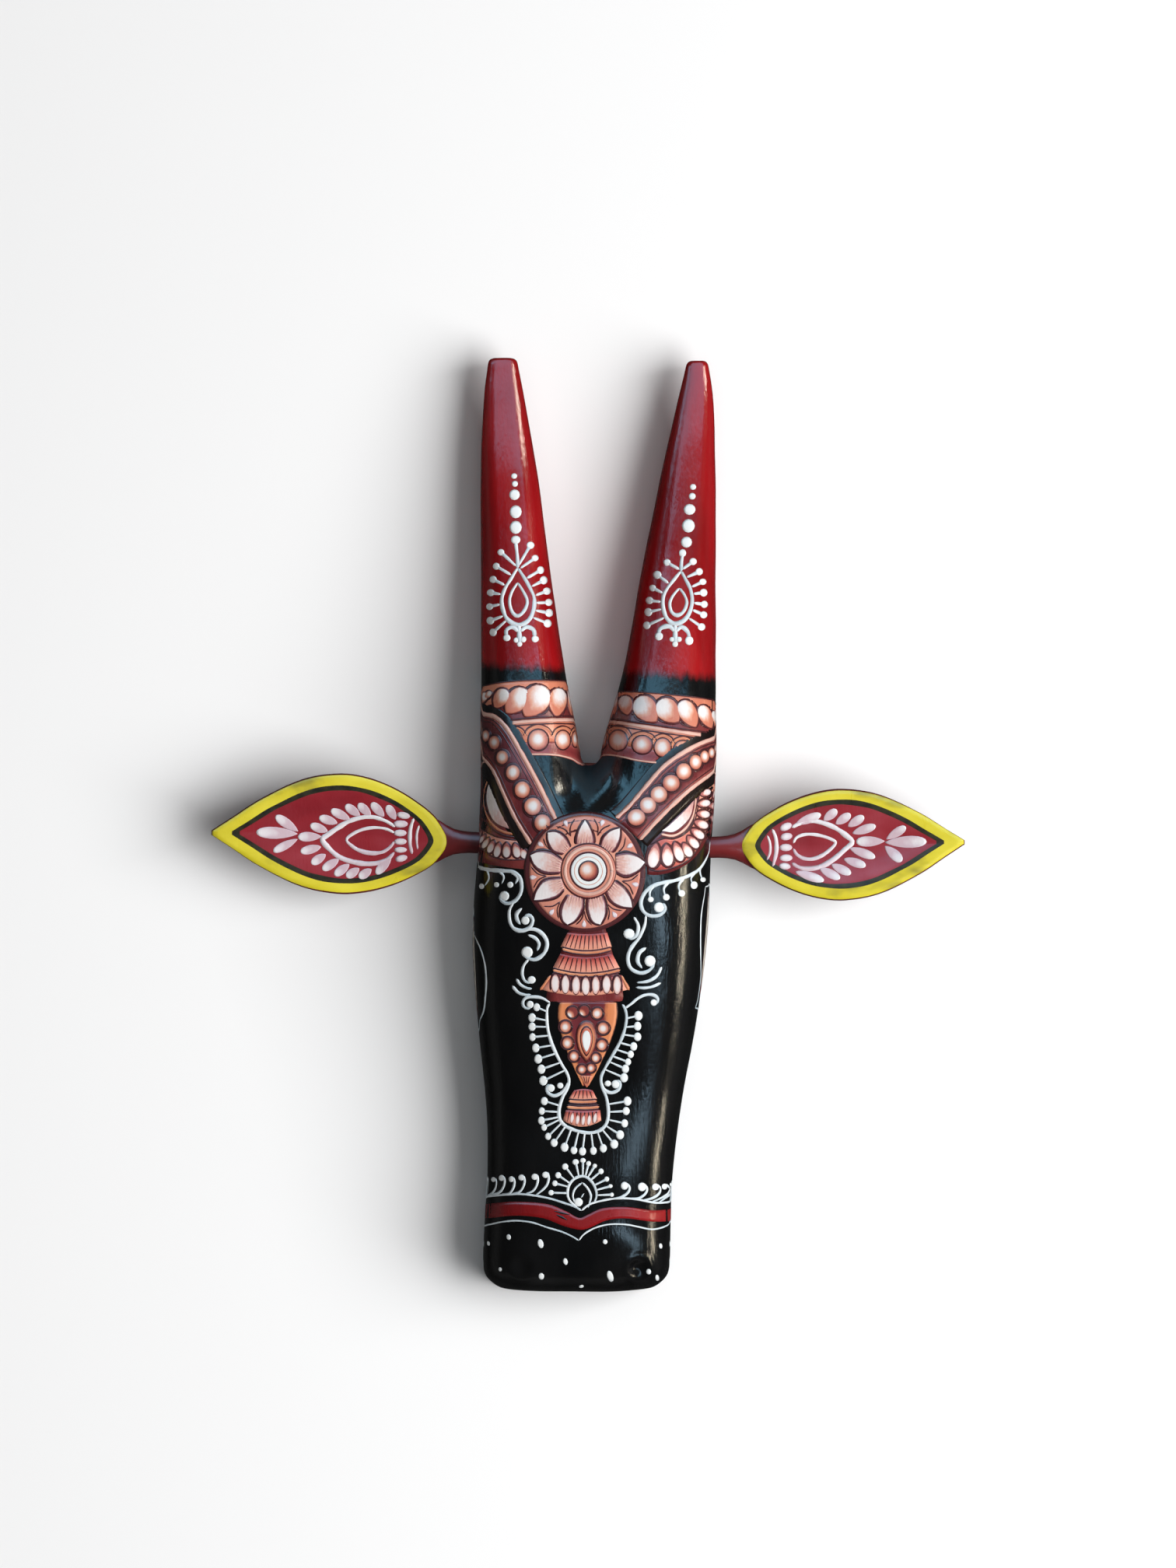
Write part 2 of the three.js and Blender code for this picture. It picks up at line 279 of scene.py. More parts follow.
branch_ring, branch_edges = ring, edges
chain = [branch_ring[FRONT]] + walk + [branch_ring[BACK]]
chain_edges = [e for e in cage.edges if e.verts[0] in chain and e.verts[1] in chain
               and abs(chain.index(e.verts[0]) - chain.index(e.verts[1])) == 1]
for levels, tip in ((HORN_LEFT, 180.55), (HORN_RIGHT, 179.4)):
    side = range(FRONT, BACK + 1) if levels is HORN_LEFT else [
        i % RING for i in range(BACK, FRONT + RING + 1)]
    ring = [None] * RING
    for i in side:
        ring[i] = branch_ring[i]
    for i in range(RING):
        if ring[i] is None:
            ring[i] = chain[min((i - FRONT) % RING, (FRONT - i) % RING)]
    own = set(ring[i] for i in side)
    edges = [e for e in branch_edges if e.verts[0] in own and e.verts[1] in own] + chain_edges
    rounds = [(a, b, 1.0) for a, b in HORN_RINGS]
    for turn in (0, 45, 90):
        bend = math.radians(turn)
        y = tip - TIP_CORNER * (1 - math.sin(bend))
        rounds.append((y, y, TIP_FLAT + (1 - TIP_FLAT) * math.cos(bend)))
    rounds.append((tip, tip, 0.25))
    for outer_y, inner_y, reach in rounds:
        ring, edges = draw_on(edges, ring, horn_ring(levels, outer_y, inner_y, reach))
    close(set(ring))
bmesh.ops.recalc_face_normals(cage, faces=cage.faces)
print("whole cage", len(cage.verts), "corners, open edges",
      sum(len(e.link_faces) != 2 for e in cage.edges))

# %% [markdown]
# Subdivision pulls the skin inside its cage, which would make every section too thin. The cage is
# pushed out step by step until the smooth skin passes through the measured corners. The rim of
# the flat back is creased first, so that it stays a crisp sawn edge.

# %% The cage pushed out to the measures
FLAT = 1e-6  # closer to the floor than this is on it
crease = cage.edges.layers.float.new("crease_edge")
RIM_FADES, RIM_FADE_SPAN = 55, 30  # where up the horns the rim turns round, in mm
PUSHES, PUSH_SHARE = 4, 0.9  # how often, and how much of the gap each time
SMOOTHING = 3  # levels of subdivision
for edge in cage.edges:
    a, b = edge.verts
    flat_sides = [all(abs(v.co.z) < FLAT for v in face.verts) for face in edge.link_faces]
    if len(flat_sides) == 2 and flat_sides[0] != flat_sides[1]:
        edge[crease] = 1 - smoothly(max(a.co.y, b.co.y), RIM_FADES - RIM_FADE_SPAN,
                                     RIM_FADES + RIM_FADE_SPAN)


def skin_place(vert):
    if vert in saddle or any(len(face.verts) != 4 for face in vert.link_faces):
        return None
    sharp = [e.other_vert(vert).co for e in vert.link_edges if e[crease] > 0.5]
    if len(sharp) == 2:
        return (4 * vert.co + sharp[0] + sharp[1]) / 6
    n = len(vert.link_edges)
    near = sum((e.other_vert(vert).co for e in vert.link_edges), Vector())
    far = sum((loop.link_loop_next.link_loop_next.vert.co for loop in vert.link_loops), Vector())
    return (n * n * vert.co + 4 * near + far) / (n * (n + 5))


saddle = set(walk)
aims = [(vert, vert.co.copy()) for vert in cage.verts]
for _ in range(PUSHES):
    skins = [skin_place(vert) for vert, _ in aims]
    for (vert, aim), skin in zip(aims, skins):
        if skin is not None:
            vert.co += PUSH_SHARE * (aim - skin)
            vert.co.z = max(vert.co.z, 0)
            if abs(aim.z) < FLAT:
                vert.co.z = 0
bmesh.ops.scale(cage, vec=(MM, MM, MM), verts=cage.verts)
cage_mesh = bpy.data.meshes.new("head_cage")
cage.to_mesh(cage_mesh)
cage_object = show("head_cage", cage_mesh)
smooth = cage_object.modifiers.new("smooth", "SUBSURF")
smooth.levels = smooth.render_levels = SMOOTHING

# %% [markdown]
# The smooth skin is taken off the cage as a mesh of its own. On it the knife leaves its last
# marks: two shallow round nostrils, and a slight unevenness that no sandpaper takes out.

# %% The carved head
bpy.context.view_layer.update()
evaluated = cage_object.evaluated_get(bpy.context.evaluated_depsgraph_get())
head_mesh = bpy.data.meshes.new_from_object(evaluated)
bpy.data.objects.remove(cage_object)

SHARP_BEND = math.radians(45)  # a bend above this stays a crisp edge
NOSTRILS = [(paper(671, 1627), 4.4 * MM, 1.3 * MM), (paper(821, 1630), 4.3 * MM, 2.6 * MM)]
WAVE_LENGTH, WAVE_DEPTH = 17 * MM, 0.16 * MM
RIM_RISE, RIM_PLACE, RIM_WIDTH = 0.2, 1.15, 0.22  # a nostril's raised rim, by depth and radius
BACK_HEIGHT, MUZZLE_HEIGHT = 0.6 * MM, 20 * MM  # no waves below, no nostrils below

carving = bmesh.new()
carving.from_mesh(head_mesh)
carving.normal_update()
moves = []
for vert in carving.verts:
    x, y, z = vert.co
    move = WAVE_DEPTH * (noise.noise(vert.co / WAVE_LENGTH) - 0.3)
    if z < BACK_HEIGHT:
        move = 0
    if z > MUZZLE_HEIGHT:
        for nostril, radius, depth in NOSTRILS:
            gap = math.hypot(x - nostril.x, y - nostril.y) / radius
            if gap < 1.7:
                move += RIM_RISE * depth * math.exp(-(((gap - RIM_PLACE) / RIM_WIDTH) ** 2))
            if gap < 1:
                move -= depth * (1 - gap * gap) ** 1.5
    moves.append(vert.normal * move)
for vert, move in zip(carving.verts, moves):
    vert.co += move
for edge in carving.edges:
    edge.smooth = edge.calc_face_angle(0) < SHARP_BEND
for face in carving.faces:
    face.smooth = True
carving.to_mesh(head_mesh)
skin = BVHTree.FromBMesh(carving)
head_mesh.name = "carved_head"
carved_head = show("carved_head", head_mesh)
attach(carved_head, "root")
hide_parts("head")
print("carved head", len(head_mesh.polygons), "faces",
      "top", round(max(vert.co.z for vert in head_mesh.vertices) / MM, 2), "mm")

# %% [markdown]
# Each finish is a small tree of nodes. The varnish over all the paint is one clear glossy coat, so
# every finish shares the same low roughness and the same fine streaks of the brush in its bump.
# The rest make a colour ramp, a sum, a blend of two colours or a noise stretched along a brush.

# %% Helpers for finishes
def finish(name, **sockets):
    material = bpy.data.materials.new(name)
    material.use_nodes = True
    shader = material.node_tree.nodes["Principled BSDF"]
    for socket, value in sockets.items():
        shader.inputs[socket.replace("_", " ")].default_value = value
    return material, material.node_tree, shader


def wire(tree, kind, sockets=None, **settings):
    node = tree.nodes.new("ShaderNode" + kind)
    for key, value in settings.items():
        setattr(node, key, value)
    for key, value in (sockets or {}).items():
        if isinstance(value, bpy.types.NodeSocket):
            tree.links.new(value, node.inputs[key])
        else:
            node.inputs[key].default_value = value
    return node


def ramp(tree, value, stops, ease="LINEAR"):
    node = wire(tree, "ValToRGB", {"Fac": value})
    node.color_ramp.interpolation = ease
    bands = node.color_ramp.elements
    while len(bands) < len(stops):
        bands.new(0.5)
    for band, (place, colour) in zip(bands, stops):
        band.position = place
        band.color = (*colour, 1)
    return node.outputs["Color"]


def sums(tree, kind, *values):
    return wire(tree, "Math", dict(enumerate(values)), operation=kind).outputs[0]


def swing(tree, value, size):
    """A value around one half made a push of that size to either side."""
    return sums(tree, "MULTIPLY", sums(tree, "SUBTRACT", value, 0.5), size)


def span(tree, value, start, end, low=0, high=1, ease="LINEAR"):
    """The stretch from start to end carried over to the one from low to high."""
    node = wire(tree, "MapRange", {"Value": value, "From Min": start, "From Max": end,
                                   "To Min": low, "To Max": high}, interpolation_type=ease)
    return node.outputs[0]


def blend(tree, share, under, over):
    node = wire(tree, "Mix", {0: share, 6: under, 7: over}, data_type="RGBA")
    return node.outputs[2]


def grain(tree, scale, stretch=(1, 1, 1), detail=3.0):
    place = wire(tree, "TexCoord").outputs["Object"]
    mapped = wire(tree, "Mapping", {"Vector": place, "Scale": stretch})
    noise_node = wire(tree, "TexNoise", {"Vector": mapped.outputs[0], "Scale": scale,
                                         "Detail": detail})
    return noise_node.outputs[0]


STREAK_DEPTH = 0.2 * MM


def varnish(tree, shader, streak=0.35, rough=(0.15, 0.28)):
    """Glossy varnish: brush streaks up the face, a fine grain, and duller and shinier places."""
    streaks = grain(tree, 260, (4, 0.22, 4), 4)
    fine = grain(tree, 1100, (1, 0.45, 1), 4)
    height = sums(tree, "ADD", streaks, sums(tree, "MULTIPLY", fine, 0.62))
    bump = wire(tree, "Bump", {"Height": height, "Strength": streak, "Distance": STREAK_DEPTH})
    tree.links.new(bump.outputs[0], shader.inputs["Normal"])
    dull = span(tree, grain(tree, 90, (1, 0.4, 1), 3), 0.3, 0.7, *rough)
    tree.links.new(dull, shader.inputs["Roughness"])


print("helpers ready")

# %% [markdown]
# The horns are brushed red down to a soft edge, and black takes over above the painted bands and
# covers the whole face. Where the colours meet is a height up the mask, so the finish reads the
# place on the object and wobbles it with noise, as the brush did. The flat back stays bare wood,
# with saw marks and a ragged edge where paint ran over the rim. For that edge each corner of the
# mesh carries its distance from the rim. Between the horns no polishing cloth gets in, so a small
# triangle there stays dull.

# %% Distance from the rim, for the paint that laps over it
ON_BACK = 0.3 * MM  # a corner lower than this is on the flat back
rim_spots = KDTree(len(head_mesh.vertices))
flat_back = [abs(vert.co.z) < ON_BACK for vert in head_mesh.vertices]
for vert, flat in zip(head_mesh.vertices, flat_back):
    if not flat:
        rim_spots.insert(vert.co, vert.index)
rim_spots.balance()
lap = head_mesh.attributes.new("lap", "FLOAT", "POINT")
for vert, flat in zip(head_mesh.vertices, flat_back):
    lap.data[vert.index].value = rim_spots.find(vert.co)[2] / MM if flat else 0.0
print("bare back", sum(flat_back), "corners")

# %% Red and black lacquer of the head, bare wood behind
RED_FROM, RED_SLOPE = 59 * MM, 0.055  # the height where the red starts, lower to the right
CROTCH_FOOT, CROTCH_SLOPE = 8.5 * MM, 0.66  # the triangle between the horns
lacquer, tree, shader = finish("lacquer", Specular_IOR_Level=0.42)
place = wire(tree, "TexCoord").outputs["Object"]
axes = wire(tree, "SeparateXYZ", {0: place}).outputs
wobble = grain(tree, 240, (1.6, 0.35, 1), 5)
edge_height = sums(tree, "SUBTRACT", RED_FROM, sums(tree, "MULTIPLY", axes["X"], RED_SLOPE))
above = sums(tree, "SUBTRACT", axes["Y"], edge_height)
above = sums(tree, "ADD", above, swing(tree, wobble, 6 * MM))
horn_share = span(tree, above, -1.6 * MM, 3.4 * MM, ease="SMOOTHSTEP")
reds = ramp(tree, grain(tree, 34, (1.5, 0.35, 1.5), 4),
            [(0.3, (0.18, 0.003, 0.004)), (0.5, (0.27, 0.005, 0.007)),
             (0.72, (0.37, 0.010, 0.011))])
blacks = ramp(tree, grain(tree, 70, (1, 0.4, 1), 3),
              [(0.3, (0.0022, 0.0024, 0.0026)), (0.7, (0.0052, 0.0052, 0.0054))])
painted = blend(tree, horn_share, blacks, reds)
year_rings = grain(tree, 26, (9, 0.5, 1), 5)
saw_marks = grain(tree, 500, (0.06, 1, 1), 2)
wood_tone = sums(tree, "ADD", sums(tree, "MULTIPLY", year_rings, 0.75),
                 sums(tree, "MULTIPLY", saw_marks, 0.25))
bare = ramp(tree, wood_tone, [(0.32, (0.30, 0.175, 0.085)), (0.5, (0.47, 0.31, 0.165)),
                              (0.68, (0.58, 0.41, 0.24))])
ragged = span(tree, grain(tree, 190, detail=4), 0.35, 0.65, 0.35, 1.5)
reach = wire(tree, "Attribute", attribute_name="lap").outputs["Fac"]
share = span(tree, sums(tree, "MULTIPLY", reach, ragged), 0.9, 1.4)
tree.links.new(blend(tree, share, painted, bare), shader.inputs["Base Color"])
varnish(tree, shader, 0.42, (0.12, 0.22))
half_gap = sums(tree, "MULTIPLY", sums(tree, "SUBTRACT", axes["Y"], CROTCH_FOOT), CROTCH_SLOPE)
from_crotch = sums(tree, "SUBTRACT", sums(tree, "ABSOLUTE", axes["X"]), half_gap)
from_crotch = sums(tree, "ADD", from_crotch, sums(tree, "MULTIPLY", wobble, 4 * MM))
unpolished = sums(tree, "MULTIPLY", span(tree, from_crotch, 3.5 * MM, 1 * MM),
                  span(tree, axes["Y"], 36 * MM, 28 * MM))
dull = sums(tree, "MULTIPLY", sums(tree, "MAXIMUM", share, unpolished), 0.5)
gloss = shader.inputs["Roughness"].links[0].from_socket
tree.links.new(sums(tree, "ADD", gloss, dull), shader.inputs["Roughness"])
head_mesh.materials.append(lacquer)
print("lacquer", len(tree.nodes), "nodes")

# %% [markdown]
# The painted ornament could be an image or a noise pattern, but its lines are half a millimetre
# wide and meet exactly, so each mark is a thin closed shape laid on the wood. The marks are cut
# from two blanks: a ribbon for every brush stroke, and a drum whose top is inset in rings for
# every dot, bead and petal. Each corner of a blank is carried to its place on the skin.
# Three numbers ride on each corner for the finishes: edge runs from 0 in a mark's middle to 1 at
# its rim, run follows the stroke or the shading, and hand differs from mark to mark.

# %% Blanks for brush strokes, dots and petals
def ribbon_blank(rows, columns):
    net = bmesh.new()
    bmesh.ops.create_grid(net, x_segments=rows, y_segments=columns, size=1)
    bmesh.ops.solidify(net, geom=net.faces[:], thickness=1)
    return blank_mesh(net)


def drum_blank(corners, rings):
    net = bmesh.new()
    bmesh.ops.create_cone(net, cap_ends=True, segments=corners, radius1=1, radius2=1, depth=1)
    bmesh.ops.translate(net, vec=(0, 0, -0.5), verts=net.verts)
    net.normal_update()
    top = [face for face in net.faces if face.normal.z > 0.9]
    reach = 1.0
    for ring_reach in rings:
        inner = (reach - ring_reach) * math.cos(math.pi / corners)
        bmesh.ops.inset_region(net, faces=top, thickness=inner, use_even_offset=True)
        reach = ring_reach
    bmesh.ops.poke(net, faces=top)
    return blank_mesh(net)


def blank_mesh(net):
    mesh = bpy.data.meshes.new("blank")
    net.to_mesh(mesh)
    net.free()
    return mesh


ROWS = (4, 8, 12, 18, 26, 40, 64, 100, 160)
ribbons = {}
drums = {
    "dot": drum_blank(12, (0.6,)),
    "bead": drum_blank(20, (0.86, 0.66, 0.4)),
    "disc": drum_blank(64, (0.96, 0.85, 0.7, 0.55, 0.4, 0.2)),
}
print("blanks", {name: len(mesh.polygons) for name, mesh in drums.items()})

# %% [markdown]
# A mark has to sit on the wood, wherever it is drawn. front() looks from the camera through a
# square of the paper and gives the place on the wood behind it. A chart from wrap() does the same,
# and past the edge of the block it runs on down the side wall, so a band can be drawn right round.
# stamp() then carries each corner of a blank to such a place and lifts it by the paint's
# thickness.

# %% Ways onto the skin
surface = skin  # the wood that is being painted
EDGE_IN = 0.8 * MM  # the last look from the front, this far from the edge
WALL = 8 * MM  # from the edge into the wood, where the looks at the side wall start


def front(across, down):
    aim = paper(across, down)
    hit = surface.ray_cast(EYE, (aim - EYE).normalized())[0]
    return hit or surface.find_nearest(Vector((aim.x, aim.y, 14 * MM)))[0]


def wrap(levels):
    def chart(across, down):
        spot = paper(across, down)
        left, right = (through(levels, column)(spot.y / MM) * MM for column in (1, 2))
        for sign, edge in ((-1, left + EDGE_IN), (1, right - EDGE_IN)):
            past = sign * (spot.x - edge)
            if past > 0:
                last = front(across - sign * past / SQUARE, down)
                inner = last + Vector((-sign * WALL, 0, -min(past, last.z - 1.2 * MM)))
                return surface.ray_cast(inner, Vector((sign, 0, 0)))[0] or last
        return front(across, down)

    return chart


around_face, around_left, around_right = wrap(FACE), wrap(HORN_LEFT), wrap(HORN_RIGHT)
LAYERS = ("edge", "run", "hand")
SUNK = 0.18 * MM  # the underside of the paint lies this far inside the wood
covered = []  # tests for squares that later paint covers


def hidden(across, down):
    return any(test(across, down) for test in covered)


def stamp(net, blank, look, place):
    """Adds a blank to net; place(corner) gives a point, a lift, an edge and a run value."""
    first, first_face = len(net.verts), len(net.faces)
    net.from_mesh(blank)
    net.verts.ensure_lookup_table()
    net.faces.ensure_lookup_table()
    edge, run, pick = (net.verts.layers.float[name] for name in LAYERS)
    chance = hand.random()
    for vert in net.verts[first:]:
        point, lift, vert[edge], vert[run] = place(vert.co)
        foot, normal, _, _ = surface.find_nearest(point)
        vert[pick] = chance
        vert.co = foot + normal * (lift if lift > 0 else -SUNK)
    for face in net.faces[first_face:]:
        face.material_index = look
        face.smooth = True


def smooth_line(path, closed=False, steps=8):
    """Many squares of the paper along a smooth curve through the few that are given."""
    points = [Vector(spot) for spot in path]
    ends = [points[-1]] + points + points[:2] if closed else (
        [2 * points[0] - points[1]] + points + [2 * points[-1] - points[-2]])
    line = []
    for a, b, c, d in zip(ends, ends[1:], ends[2:], ends[3:]):
        for k in range(steps):
            t = k / steps
            line.append(0.5 * (2 * b + (c - a) * t + (2 * a - 5 * b + 4 * c - d) * t**2
                               + (3 * b - a - 3 * c + d) * t**3))
    return line + [ends[-2]]


def evenly(places, count):
    """Where to stop on a row of places to walk it in even steps, and how long the walk is."""
    lengths = [0.0]
    for a, b in zip(places, places[1:]):
        lengths.append(lengths[-1] + (b - a).length)
    stops, i = [], 0
    for k in range(count + 1):
        goal = lengths[-1] * k / count
        while i < len(places) - 2 and lengths[i + 1] < goal:
            i += 1
        step = lengths[i + 1] - lengths[i]
        stops.append(i + ((goal - lengths[i]) / step if step else 0))
    return stops, lengths[-1]


def stop_at(places, stop):
    i = min(int(stop), len(places) - 2)
    return places[i].lerp(places[i + 1], stop - i)


def dense(line, closed=True, count=60):
    fine = smooth_line(line, closed)
    return [tuple(stop_at(fine, stop)) for stop in evenly(fine, count)[0]]


def new_net():
    net = bmesh.new()
    for name in LAYERS:
        net.verts.layers.float.new(name)
    return net


# %% Brush strokes
SHAKE, SHAKE_LENGTH = 0.25, 3 * MM  # how unsteady a stroke's width is
ROW_LENGTH, PATCH_ROW = 0.9 * MM, 1.3 * MM  # the longest step between two rows of a blank


def at(values, t):
    """A value between the evenly spaced ones."""
    place = min(max(t, 0), 1) * (len(values) - 1)
    i = min(int(place), len(values) - 2)
    return mix(values[i], values[i + 1], place - i)


def stroke(net, look, path, width, lift=0.1, chart=front, closed=False, base=0.03):
    """A brush stroke along path; width in squares, one value or several along the stroke.
    It rises lift over base, both in mm."""
    lift, base = lift * MM, base * MM
    widths = [w * SQUARE for w in (width if isinstance(width, (tuple, list)) else (width, width))]
    squares = smooth_line(path, closed, 4 if len(path) > 2 or chart is front else 40)
    keys = [chart(*spot) for spot in squares]
    rough = sum((b - a).length for a, b in zip(keys, keys[1:]))
    rows = next((n for n in ROWS if n * ROW_LENGTH > rough), ROWS[-1])
    if rows not in ribbons:
        ribbons[rows] = ribbon_blank(rows, 2)
    stops, length = evenly(keys, rows)
    spots = [stop_at(keys, stop) for stop in stops]
    under = [hidden(*stop_at(squares, stop)) for stop in stops]
    feet = [surface.find_nearest(spot) for spot in spots]
    cap = min(max(widths) / 2 / max(length, 1e-6), 0.45)
    phase = hand.random() * 50

    def place(corner):
        t = (corner.x + 1) / 2
        i = min(int(round(t * rows)), rows)
        ahead, behind = spots[min(i + 1, rows)], spots[max(i - 1, 0)]
        if closed and i in (0, rows):
            ahead, behind = spots[1], spots[rows - 1]
        foot, normal = feet[i][0], feet[i][1]
        across = normal.cross(ahead - behind).normalized()
        shake = noise.noise(Vector((phase, t * length / SHAKE_LENGTH, 0)))
        thick = at(widths, t) * (1 + SHAKE * shake)
        if not closed:
            end = min(t, 1 - t) / cap
            thick *= math.sqrt(max(1 - (1 - min(end, 1)) ** 2, 0.02))
        point = foot + across * (corner.y * thick / 2)
        if corner.z < -0.5 or under[i]:
            return point, -1, abs(corner.y), t
        rise = min(thick / max(widths), 1) ** 0.5
        return point, base + (lift * rise if abs(corner.y) < 0.5 else 0), abs(corner.y), t

    stamp(net, ribbons[rows], look, place)


def patch(net, look, one_side, other_side, lift, columns=6, chart=front, dome=0.0,
          sag=(0.0, 0.0)):
    """A ground of paint between two curves; sag bends its first and last row down, in squares."""
    lift, dome = lift * MM, dome * MM
    one, other = smooth_line(one_side), smooth_line(other_side)
    long = max(evenly(line, 2)[1] for line in (one, other)) * SQUARE
    rows = next((n for n in ROWS if n * PATCH_ROW > long), ROWS[-1])
    blank = ribbon_blank(rows, columns)
    a, b = ([stop_at(line, stop) for stop in evenly(line, rows)[0]] for line in (one, other))

    def place(corner):
        i = int(round((corner.x + 1) / 2 * rows))
        spot = a[i].lerp(b[i], (corner.y + 1) / 2)
        middle = 1 - corner.y ** 2
        down = spot.y + middle * mix(*sag, i / rows)
        height = -1 if corner.z < -0.5 or hidden(spot.x, down) else lift + dome * middle
        return chart(spot.x, down), height, abs(corner.y), i / rows

    stamp(net, blank, look, place)
    bpy.data.meshes.remove(blank)


# %% Dots, beads and petals
def oval(wide, tall, turn=0.0):
    """Half width and half height in squares, turned anticlockwise by degrees."""
    c, s = math.cos(math.radians(turn)), math.sin(math.radians(turn))
    return lambda x, y: (c * x * wide - s * y * tall, -(s * x * wide + c * y * tall))


def drop(length, wide, turn=0.0, sharp=0.9):
    """A drop whose point looks along turn."""
    c, s = math.cos(math.radians(turn)), math.sin(math.radians(turn))

    def shape(x, y):
        reach = math.hypot(x, y)
        angle = math.atan2(y, x)
        along = reach * math.cos(angle) * length
        out = reach * math.sin(angle) * abs(math.sin(angle / 2)) ** sharp * wide * 1.25
        return c * along - s * out, -(s * along + c * out)

    return shape


def unevenly(spread):
    """A factor near 1, drawn anew each time."""
    return 1 + (hand.random() - 0.5) * spread


def blob(net, look, spot, shape, lift, kind="bead", chart=front, base=0.04,
         shine=(0.0, 0.0), flat=0.0):
    """A dot, bead or petal; shine moves the light middle of the shading, run, off centre."""
    lift, base = lift * MM, base * MM
    across, down = spot
    wobble = unevenly(0.06)

    def place(corner):
        x, y = shape(corner.x * wobble, corner.y)
        reach = min(math.hypot(corner.x, corner.y), 1)
        point = chart(across + x, down + y)
        if corner.z < -0.5 or hidden(across + x, down + y):
            return point, -1, reach, 1
        dome = math.sqrt(max(1 - reach**2, 0)) if flat == 0 else 1 - reach ** flat
        shade = math.hypot(corner.x - shine[0], corner.y - shine[1])
        return point, base + lift * dome, reach, shade

    stamp(net, drums[kind], look, place)


def dots(net, spots, swell=1, lift=0.11, chart=front):
    """Round white dabs, each given as across, down and radius."""
    for across, down, radius in spots:
        size = radius * swell * unevenly(0.16)
        blob(net, DOT, (across, down), oval(size, size * unevenly(0.2)), lift, "dot", chart)


def piece(name, net, looks):
    bmesh.ops.recalc_face_normals(net, faces=net.faces[:])
    mesh = bpy.data.meshes.new(name)
    net.to_mesh(mesh)
    net.free()
    for look in looks:
        mesh.materials.append(look)
    made = show(name, mesh)
    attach(made, "root")
    print(name, len(mesh.polygons), "faces")
    return made


# %% [markdown]
# The painter shades every bead and petal from a white heart through pink to a dark red rim, and
# fades every white stroke as the brush runs dry. Each finish reads those shades from the numbers
# that ride on the marks, and adds the streaks of the brush.

# %% Finishes of the ornament
def numbers(tree, name):
    return wire(tree, "Attribute", attribute_name=name).outputs["Fac"]


def paint(name, stops, by="run", rim=None, streaks=0.25, streak_scale=420, gloss=(0.22, 0.36)):
    """Colours along one of the numbers, an optional darker rim, and brush streaks over both."""
    material, tree, shader = finish(name)
    value = numbers(tree, by)
    uneven = grain(tree, streak_scale, (1, 0.6, 1), 3)
    shift = sums(tree, "ADD", swing(tree, uneven, streaks),
                 swing(tree, numbers(tree, "hand"), 0.12))
    colour = ramp(tree, sums(tree, "ADD", value, shift), stops)
    if rim:
        start, end, tint = rim
        ragged = sums(tree, "ADD", numbers(tree, "edge"), swing(tree, uneven, 0.08))
        share = span(tree, ragged, start, end, ease="SMOOTHSTEP")
        colour = blend(tree, share, colour, (*tint, 1))
    tree.links.new(colour, shader.inputs["Base Color"])
    varnish(tree, shader, 0.3, gloss)
    return material


